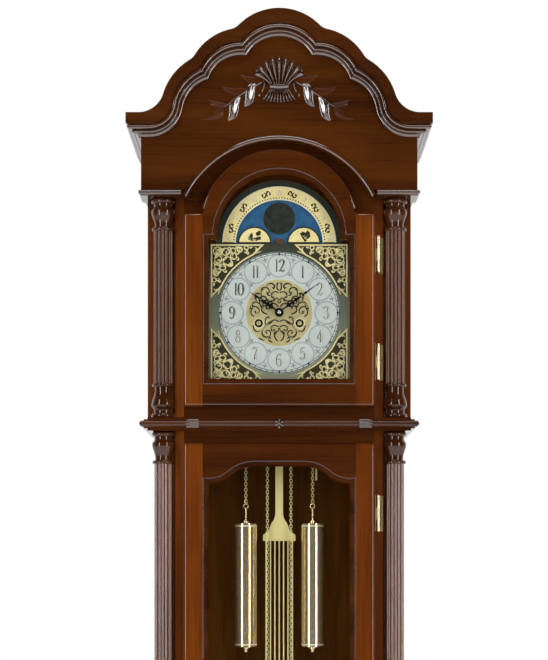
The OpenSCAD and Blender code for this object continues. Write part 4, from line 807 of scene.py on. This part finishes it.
# (x, z) from the corner in towards the dial, heading, size, turns, hand
scrolls = [
    (-8, -20, 95, 22, 1.15, 1), (-26, -7, 175, 20, 1.1, 1), (-24, -24, 60, 22, 1.2, -1),
    (-36, -20, 150, 20, 1.2, -1), (-48, -8, 185, 18, 1.1, 1), (-57, -16, 120, 16, 1.1, -1),
    (-66, -7, 190, 15, 1.1, 1), (-40, -32, 215, 16, 1.1, 1), (-78, -8, 170, 12, 1, -1),
    (-30, -38, 250, 16, 1.2, -1), (-50, -24, 185, 12, 1.1, 1), (-15, -10, 250, 12, 1.1, -1),
    (-72, -13, 200, 9, 1, 1), (-88, -6, 190, 8, 1, 1),
]
leaves = [
    [(-4, -4, .6), (-12, -12, 2.4), (-22, -22, 1)], [(-40, -12, .5), (-44, -18, 1.8), (-43, -24, .4)],
    [(-58, -6, .5), (-62, -11, 1.6), (-60, -16, .4)], [(-33, -12, .4), (-31, -17, 1.8), (-33, -22, .4)],
    [(-48, -30, .4), (-42, -26, 1.6), (-38, -27, .4)], [(-75, -4, .4), (-80, -6, 1.5), (-84, -4, .4)],
    [(-20, -30, .4), (-26, -31, 1.8), (-30, -29, .4)], [(-53, -12, .4), (-51, -7, 1.4), (-47, -4, .4)],
]
drawn = [scrollPath(x, z, heading, size, turns, corner["scrollWidth"], hand)
         for x, z, heading, size, turns, hand in scrolls]
drawn += [smoothPath(line, 4) for line in leaves]
edge, ringR = corner["edge"], corner["ringR"]
inner = edge - corner["margin"]
paths = []
for turn in quarters:
    for path in drawn:
        # each line and its mirror image across the corner's diagonal
        for line in (path, [(z, x, width) for x, z, width in path]):
            shifted = [(x + edge, z + edge, width) for x, z, width in line]
            kept = [point for point in shifted if max(point[:2]) < inner and math.hypot(*point[:2]) > ringR]
            if len(kept) > 3:
                paths.append(placePath(kept, 0, dial["z"], turn=turn))
addStrokes("cornerScrolls", paths, corner["field"] + 0.3, "paleGilt", flat=1.1)
print("corner scrolls:", len(paths), "lines")

# raised borders
high = corner["edge"] - corner["borderIn"]
low = high - corner["borderReach"]
start = math.degrees(math.atan2(low, high)) + corner["borderGap"]
curve = arcPath(0, 0, corner["borderR"], start, 90 - start, 1, 30)
outline = [(low + 3, high, 1), (high, high, 1.1), (high, low + 3, 1)]
edges = [placePath(path, 0, dial["z"], turn=turn) for turn in quarters for path in (outline, curve)]
addStrokes("cornerBorders", edges, corner["borderFront"], "paleGilt", flat=0.7, sides=2)


# moon arch

arch = {
    "z": 1657,
    "front": 61.6,
    "figureR": 101.5,
    "figureHeight": 9.5,
    "scrollR": 101,
    "scrollSize": (1.15, 1.35, 1.5),    # across, up, width of the lines
    "dashR": 91.2,
    "rims": ((88, 1.1), (113.4, 0.9)),      # radius and width
    "humpX": 49.3,
    "humpR": 31,
    "patches": 11,
    "sparks": 9,
}

moon = {
    "front": 57.5,
    "radius": 32,
    "up": 50.7,
    "hubR": 11.5,
    "steps": (0.05, 0.12, 0.25, 0.25),      # of the radius, from the rim in
    "rise": 0.572,      # mm, times a step's share
    "thick": 0.3,
}

# figures, scrolls, dashes and rims of the arch
z = arch["z"]
figures, marks = [], []
for hour, turn in ((12, 0), (2, 30), (4, 60), (6, 85), (10, -30), (8, -60), (6, -85)):
    for path in figurePaths(hour, arch["figureHeight"], 0.75, gap=0.5):
        path = [(x, h + arch["figureR"], width) for x, h, width in path]
        figures.append(placePath(path, 0, z, turn=turn))
shadows = [[(x + 0.5, h - 0.4, width * 0.8) for x, h, width in path] for path in figures]
leafy = [
    [(-6.5, 2.6, .5), (-3.5, 3.8, 1.3), (0, 0, 1), (3.5, -3.8, 1.3), (6.5, -2.6, .5)],
    [(-6.5, 2.6, .6), (-6.8, -0.4, 1.5), (-4.4, -1.6, .6)],
    [(6.5, -2.6, .6), (6.8, 0.4, 1.5), (4.4, 1.6, .6)],
    [(-2.6, -3.4, .4), (-0.8, -1.2, 1), (0, 0, .4)],
    [(2.6, 3.4, .4), (0.8, 1.2, 1), (0, 0, .4)],
]
for turn in (-72.5, -45, -15, 15, 45, 72.5):
    wide, high, heavy = arch["scrollSize"]
    for line in leafy:
        path = smoothPath([(math.copysign(wide, turn) * x, h * high, width * heavy)
                           for x, h, width in line], 4)
        marks.append(placePath([(x, h + arch["scrollR"], width) for x, h, width in path], 0, z, turn=turn))
dash = [(-1.4, arch["dashR"], 1.5), (1, arch["dashR"], 1.5)]
marks += [placePath(dash, 0, z, turn=i * 3.55) for i in range(-24, 25)]
rims = [arcPath(0, z, radius, -89, 89, width, 80) for radius, width in arch["rims"]]
addStrokes("archScrolls", marks, arch["front"], "darkGround", flat=0.25)
addStrokes("archFigureShadows", shadows, arch["front"], "umberPaint", flat=0.25)
addStrokes("archFigures", figures, arch["front"] + 0.15, "silverGilt", flat=0.3)
addStrokes("archRims", rims, arch["front"] - 0.2, "silverGilt", flat=0.8, sides=2)

# raised irregular patches on the humps, as on a relief map of nowhere in particular
z, r = arch["z"], arch["humpR"]
random.seed(7)
draw = random.uniform
outlines, patches, lights = [], [], []
for side in (-1, 1):
    x = side * arch["humpX"]
    outlines.append(arcPath(x, z, r + 1.2, -92, 92, 1.5, 40))
    outlines.append([(x - r - 3, z + 1.4, 1.7), (x + r + 3, z + 1.4, 1.7)])
    for patch in range(arch["patches"]):
        px, pz = x + draw(-10, 10), z + 14.5 + draw(-6, 7)
        patches.append(smoothPath([(px + draw(-4, 4), pz + draw(-3, 3), draw(2.4, 5.2))
                                   for point in range(3)], 4))
    for spark in range(arch["sparks"]):
        px, pz = x + draw(-16, 16), z + 10 + draw(-5, 13)
        lights.append(smoothPath([(px, pz, 0.5), (px + draw(1, 4), pz + draw(-2, 2), 0.8),
                                  (px + draw(3, 6), pz + draw(-3, 3), 0.4)], 3))
addStrokes("humpPatches", outlines + patches, arch["front"] - 0.4, "darkGround", flat=0.12)
addStrokes("humpHighlights", lights, arch["front"] - 0.1, "paleGilt", flat=0.6)


# a low dome on the turning disc, raised from a round plate in steps
def makeDome(up, radius):
    dome = addShape("circle", vertices=64, radius=radius * mm, fill_type="NGON", rotation=forward,
                    location=(0, -moon["front"] * mm, (arch["z"] + up) * mm))
    setMode("EDIT")
    bpy.ops.mesh.select_all(action="SELECT")
    for share in moon["steps"]:
        bpy.ops.mesh.inset(thickness=radius * mm * share)
        bpy.ops.transform.translate(value=(0, -moon["rise"] * mm * share, 0))
    bpy.ops.mesh.select_all(action="SELECT")
    bpy.ops.mesh.normals_make_consistent(inside=False)
    setMode("OBJECT")
    applyModifier(dome, "SOLIDIFY", thickness=moon["thick"] * mm, offset=-1)
    return dome


# one dome at the top, its fellow below, and the hub
domes = [makeDome(side * moon["up"], moon["radius"]) for side in (1, -1)]
finishPiece(joinPieces(domes), "moonDomes", "moon", "darkMoon")
finishPiece(makeDome(0, moon["hubR"]), "moonHub", "moon", "umberPaint")
print("moon arch drawn")


# chains of oval links

chain = {
    "wire": 1.2,
    "linkLength": 8.2,
    "linkWidth": 6.4,
    "pitch": 5.8,
    "twist": 6,         # degrees that every link is turned away from square
    "top": 1478,
    "ringR": 9,
    "ringWire": 1.6,
    # above the lower end of a plain run
    "weightGap": 1,
    "freeGap": 19,
    "ringUp": 10.4,
}


def makeLink():
    link = addShape("torus", major_segments=12, minor_segments=5, minor_radius=chain["wire"] / 2,
                    major_radius=chain["linkWidth"] / 2 - chain["wire"] / 2, rotation=forward)
    stretch = (chain["linkLength"] - chain["linkWidth"]) / 2
    setMode("EDIT")
    for side in (-1, 1):
        selectPoints(link, lambda place: place.z * side > 0.2)
        bpy.ops.transform.translate(value=(0, 0, side * stretch))
    setMode("OBJECT")
    return link


def hangLinks(link, x, y, low, high):
    count = max(2, round((high - low) / chain["pitch"]))
    step = (high - low) / count
    made = []
    for i in range(count):
        turn = Matrix.Rotation(math.radians(90 * (i % 2) + chain["twist"]), 4, "Z")
        made.append(copyPiece(link, Matrix.Translation((x, y, low + step * (i + 0.5))) @ turn))
    return made


# links in place of a plain run, from the body that its lower end rides with up to the chain wheel
def makeRun(link, name, node, endRing):
    low, high = (Vector(point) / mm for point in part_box(node))
    x, y = (low.x + high.x) / 2, (low.y + high.y) / 2
    gap = chain["freeGap"] if endRing else chain["weightGap"]
    made = hangLinks(link, x, y, low.z + gap, chain["top"])
    if endRing:
        made.append(addShape("torus", location=(x, y, low.z + chain["ringUp"]), rotation=forward,
                             major_segments=36, minor_segments=10,
                             major_radius=chain["ringR"], minor_radius=chain["ringWire"]))
    piece = joinPieces(made)
    piece.scale = (mm, mm, mm)
    finishPiece(piece, name, None, "chainBrass", smooth=60)
    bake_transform(piece)
    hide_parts(node)
    print(name, "run at", x, y, "down to", low.z)


link = makeLink()
for word in ("left", "right"):
    makeRun(link, word + "WeightLinks", word + "_weight_chain", False)
    makeRun(link, word + "FreeLinks", word + "_free_chain", True)
removePiece(link)


# turned caps at the ends of the weights

weightCap = {
    "levels": (851.6, 1092.4),
    "over": 0.4,
    "thick": 3.2,
    "bevel": 1,
}

for word in ("left", "right"):
    low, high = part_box(word + "_weight")
    x, y = (low[0] + high[0]) / 2, (low[1] + high[1]) / 2
    radius = (high[0] - low[0]) / 2 + weightCap["over"] * mm
    made = []
    for z in weightCap["levels"]:
        cap = addShape("cylinder", vertices=64, radius=radius, depth=weightCap["thick"] * mm,
                       location=(x, y, z * mm))
        applyModifier(cap, "BEVEL", width=weightCap["bevel"] * mm, segments=3, limit_method="ANGLE")
        made.append(cap)
    finishPiece(joinPieces(made), word + "WeightCaps", word + "_weight_body", "capBrass")
print("chains and caps made")


# carving on the pediment

carving = {
    "front": 121.6,     # just inside the board's face
    "middle": 1953.5,   # height of the band between the two fans
    "thick": 3,
    "ribRise": 8,
    "cuppedRise": 6.9,
    "leafRise": 4.5,
    "beadR": 2.1,
}


def sample(values, t):
    place = t * (len(values) - 1)
    i = min(int(place), len(values) - 2)
    return values[i] + (values[i + 1] - values[i]) * (place - i)


# an upright leaf that grows from the origin along Z and stands out along -Y, in mm;
# outline, lengthwise rise and sway run from foot to tip, section from side to side
def makeLeaf(length, width, rise, outline, section, lengthwise, sway=(0, 0), rows=16, columns=10):
    obj = addShape("grid", x_subdivisions=columns, y_subdivisions=rows, size=1, location=(0, 0, 0.5),
                   rotation=forward)
    across = sorted({round(point.co.x, 4) for point in obj.data.vertices})
    along = sorted({round(point.co.z, 4) for point in obj.data.vertices})
    setMode("EDIT")
    for x in across:
        selectPoints(obj, lambda place: abs(place.x - x) < 1e-3)
        bpy.ops.transform.translate(value=(0, -rise * sample(section, x + 0.5), 0))
    for z in along:
        selectPoints(obj, lambda place: abs(place.z - z) < 1e-3)
        bpy.ops.transform.resize(value=(width * sample(outline, z), sample(lengthwise, z), 1),
                                 center_override=(0, 0, z))
        bpy.ops.transform.translate(value=(sample(sway, z), 0, 0))
    bpy.ops.mesh.select_all(action="SELECT")
    bpy.ops.transform.resize(value=(1, 1, length), center_override=(0, 0, 0))
    setMode("OBJECT")
    applyModifier(obj, "SOLIDIFY", thickness=carving["thick"], offset=-1)
    applyModifier(obj, "SUBSURF", levels=1, render_levels=1)
    return obj


# copies of a leaf at x, z (mm from the middle, and up), turned clockwise, and as mirror images
# on the left; the leaf itself goes
def spreadLeaf(leaf, places, sides=(1, -1)):
    made = []
    for x, z, turn, size in places:
        turned = Matrix.Rotation(math.radians(turn), 4, "Y") @ Matrix.Scale(size, 4)
        placed = Matrix.Translation((x, 0, z)) @ turned
        made += [copyPiece(leaf, Matrix.Scale(side, 4, (1, 0, 0)) @ placed) for side in sides]
    removePiece(leaf)
    return made


ribSection = [0, 0.55, 0.88, 1, 0.88, 0.55, 0]


# upper fan of ribs, lower fan of small ribs that end in beads, and the band between them
def makeShell(bead):
    made = []
    middle = carving["middle"]
    outline = [0.26, 0.32, 0.41, 0.52, 0.64, 0.78, 0.92, 1, 0.97, 0.55]
    rise = [0.5, 0.62, 0.75, 0.88, 1, 1.1, 1.15, 1.15, 1, 0.55]
    ribs = [(0, 0, 55, 0), (4.6, 9, 54, 1.5), (9, 19, 50, 3.5), (13.2, 29, 45, 7), (16.8, 36, 38, 13)]
    for x, turn, length, lean in ribs:
        rib = makeLeaf(length, 15, carving["ribRise"], outline, ribSection, rise,
                       [lean * t * t / 81 for t in range(10)], columns=8, rows=10)
        made += spreadLeaf(rib, [(x, middle + 5 - turn * 0.05, turn, 1)], (1, -1) if x else (1,))
    small = makeLeaf(24, 6.2, 5, [0.45, 0.5, 0.6, 0.75, 0.9, 0.95, 0.6], ribSection,
                     [0.5, 0.7, 0.85, 1, 1, 0.8, 0.3], columns=6, rows=8)
    places = []
    for i in range(10):
        side = (i - 4.5) / 4.5
        x, z, turn = side * 15.5, middle - 4.5 + abs(side) * 1.5, 180 - side * 34
        places.append((x, z, turn, 1))
        x, z = clockPoint(x, z, 25, turn)
        made.append(copyPiece(bead, Matrix.Translation((x, -2.6, z))))
    made += spreadLeaf(small, places, (1,))
    band = makeLeaf(40, 12, 6, [0.55, 0.75, 0.9, 1, 0.9, 0.75, 0.55],
                    [0, 0.75, 0.95, 0.82, 0.8, 0.82, 0.95, 0.75, 0], [0.8, 1, 1.05, 1.1, 1.05, 1, 0.8],
                    columns=10, rows=10)
    return made + spreadLeaf(band, [(-20, middle, 90, 1)], (1,))


# volutes beside the band, and the small balls round them
def makeVolutes(bead):
    volute = makeLeaf(25, 8.5, 7.5, [0.25, 0.6, 0.95, 1, 0.85, 0.6, 0.3], [0, 0.8, 1, 0.7, 0.5, 0.2, 0],
                      [0.3, 0.9, 1.1, 1, 0.8, 0.5, 0.2], [0, 1.2, 1.4, 0.6, -1, -3, -6], columns=8, rows=10)
    made = spreadLeaf(volute, [(29.5, 1966, 184, 1)])
    for side in (-1, 1):
        for x, z, size in ((39, 1936.5, 1.5), (44.6, 1984.4, 1.25), (33, 1945, 1)):
            made.append(copyPiece(bead, Matrix.Translation((side * x, -2.4, z)) @ Matrix.Scale(size, 4)))
    return made


# bright leaves are cupped and soft ones veined
def makeLeaves():
    # a rim and a hollow, then one long facet that falls to the lit side
    cupped = [0, 0.42, 0.36, 0.6, 0.98, 0.83, 0.68, 0.53, 0.38, 0.36, 0]
    veined = [0, 0.45, 0.72, 0.8, 0.62, 0.5, 0.62, 0.55, 0.25, 0]
    lens = [0.1, 0.42, 0.74, 0.95, 1, 0.97, 0.86, 0.66, 0.4, 0.08]
    lobed = [0.35, 0.72, 0.95, 0.8, 0.98, 0.72, 0.8, 0.5, 0.34, 0.05]
    body = [0.3, 0.8, 1.05, 1.12, 1.1, 1.05, 1, 0.85, 0.6, 0.15]
    brightLeaf = makeLeaf(56, 25, carving["cuppedRise"], lens, cupped, lens,
                          [0, -2.4, -3.6, -3.2, -1.6, 0.6, 2.6, 3.6, 3, 0.5])
    softLeaf = makeLeaf(48, 20, carving["leafRise"], lobed, veined, body,
                        [0, 0.5, 1.5, 2, 1.5, 0.5, -1.5, -4, -7, -11])
    thinLeaf = makeLeaf(42, 13, carving["leafRise"], lens, cupped, body,
                        [0, 1, 2, 2.5, 2.2, 1, -0.5, -2.5, -5, -8])
    bright = spreadLeaf(brightLeaf, [(45, 1963, 153, 0.98), (76, 1935, 152, 0.98)])
    soft = spreadLeaf(softLeaf, [(30, 1968, 91, 1), (64, 1947, 94, 0.98)])
    soft += spreadLeaf(thinLeaf, [(99, 1919, 88, 1), (104, 1914, 128, 1.25), (90, 1944, 76, 0.6)])
    return bright, soft


# joins carved pieces and moves them to the board
def raiseCarving(pieces):
    piece = joinPieces(pieces)
    piece.scale = (mm, mm, mm)
    piece.location = (0, -carving["front"] * mm, 0)
    applyPlace(piece)
    return piece


bead = addShape("uv_sphere", squash=(1, 1.1, 0.9), segments=12, ring_count=8, radius=carving["beadR"])
made = makeShell(bead) + makeVolutes(bead)
removePiece(bead)
bright, soft = makeLeaves()
piece = raiseCarving(made + bright)
finishPiece(raiseCarving(soft), "carvedLeaves", "case", "softCarvedWood", smooth=50)
stems = [smoothPath(placePath(line, 0, 0, flip=side)) for side in (-1, 1) for line in (
    [(34, 1962, 2.2), (52, 1953, 2), (66, 1944, 2), (84, 1932, 1.8), (104, 1917, 1.4),
     (128, 1903, 0.7)],
    [(104, 1917, 1.2), (120, 1915, 1), (136, 1920, 0.5)],
)]
lines = drawStrokes(stems, carving["front"] + 0.4, flat=1.4, sides=2)
piece = joinPieces([piece, lines])
finishPiece(piece, "carvedSpray", "case", "shadedCarvedWood", smooth=50)
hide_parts("pediment_carving")
print("carving made")


# reeded blocks and a rosette on the waist moulding

waist = {
    "nose": 128,        # how far the moulding stands forward
    "blockX": 170,
    "blockWidth": 26,
    "reedR": 3.2,
    "reedStep": 5.6,
    "reedBevel": 2,
    "petals": 6,
    "petal": (3, 4.6, 4.9),     # half sizes
    "petalReach": 5.8,
    "eyeR": 2.8,
    # set back behind the nose
    "reedBack": (2.6, 1.6, 2.6),
    "petalBack": 3.4,
    "eyeBack": -0.2,
}

low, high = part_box("waist_moulding")
middle = (low[2] + high[2]) / 2
nose = waist["nose"]
made = []
for side in (-1, 1):
    for row, back in zip((-1, 0, 1), waist["reedBack"]):
        reed = addShape("cylinder", vertices=24, radius=waist["reedR"] * mm,
                        depth=waist["blockWidth"] * mm, rotation=(0, math.radians(90), 0),
                        location=(side * waist["blockX"] * mm, -(nose - back) * mm,
                                  middle + row * waist["reedStep"] * mm))
        applyModifier(reed, "BEVEL", width=waist["reedBevel"] * mm, segments=3, limit_method="ANGLE")
        made.append(reed)
for petal in range(waist["petals"]):
    leaf = addShape("uv_sphere", squash=waist["petal"], segments=16, ring_count=10, radius=mm,
                    location=(0, 0, waist["petalReach"] * mm))
    leaf.rotation_euler = (0, math.tau * petal / waist["petals"], 0)
    leaf.location = (0, -(nose - waist["petalBack"]) * mm, middle)
    applyPlace(leaf)
    made.append(leaf)
made.append(addShape("uv_sphere", segments=16, ring_count=10, radius=waist["eyeR"] * mm,
                     location=(0, -(nose - waist["eyeBack"]) * mm, middle)))
finishPiece(joinPieces(made), "waistCarving", "case", "shadedCarvedWood", smooth=50)
print("waist carving made")
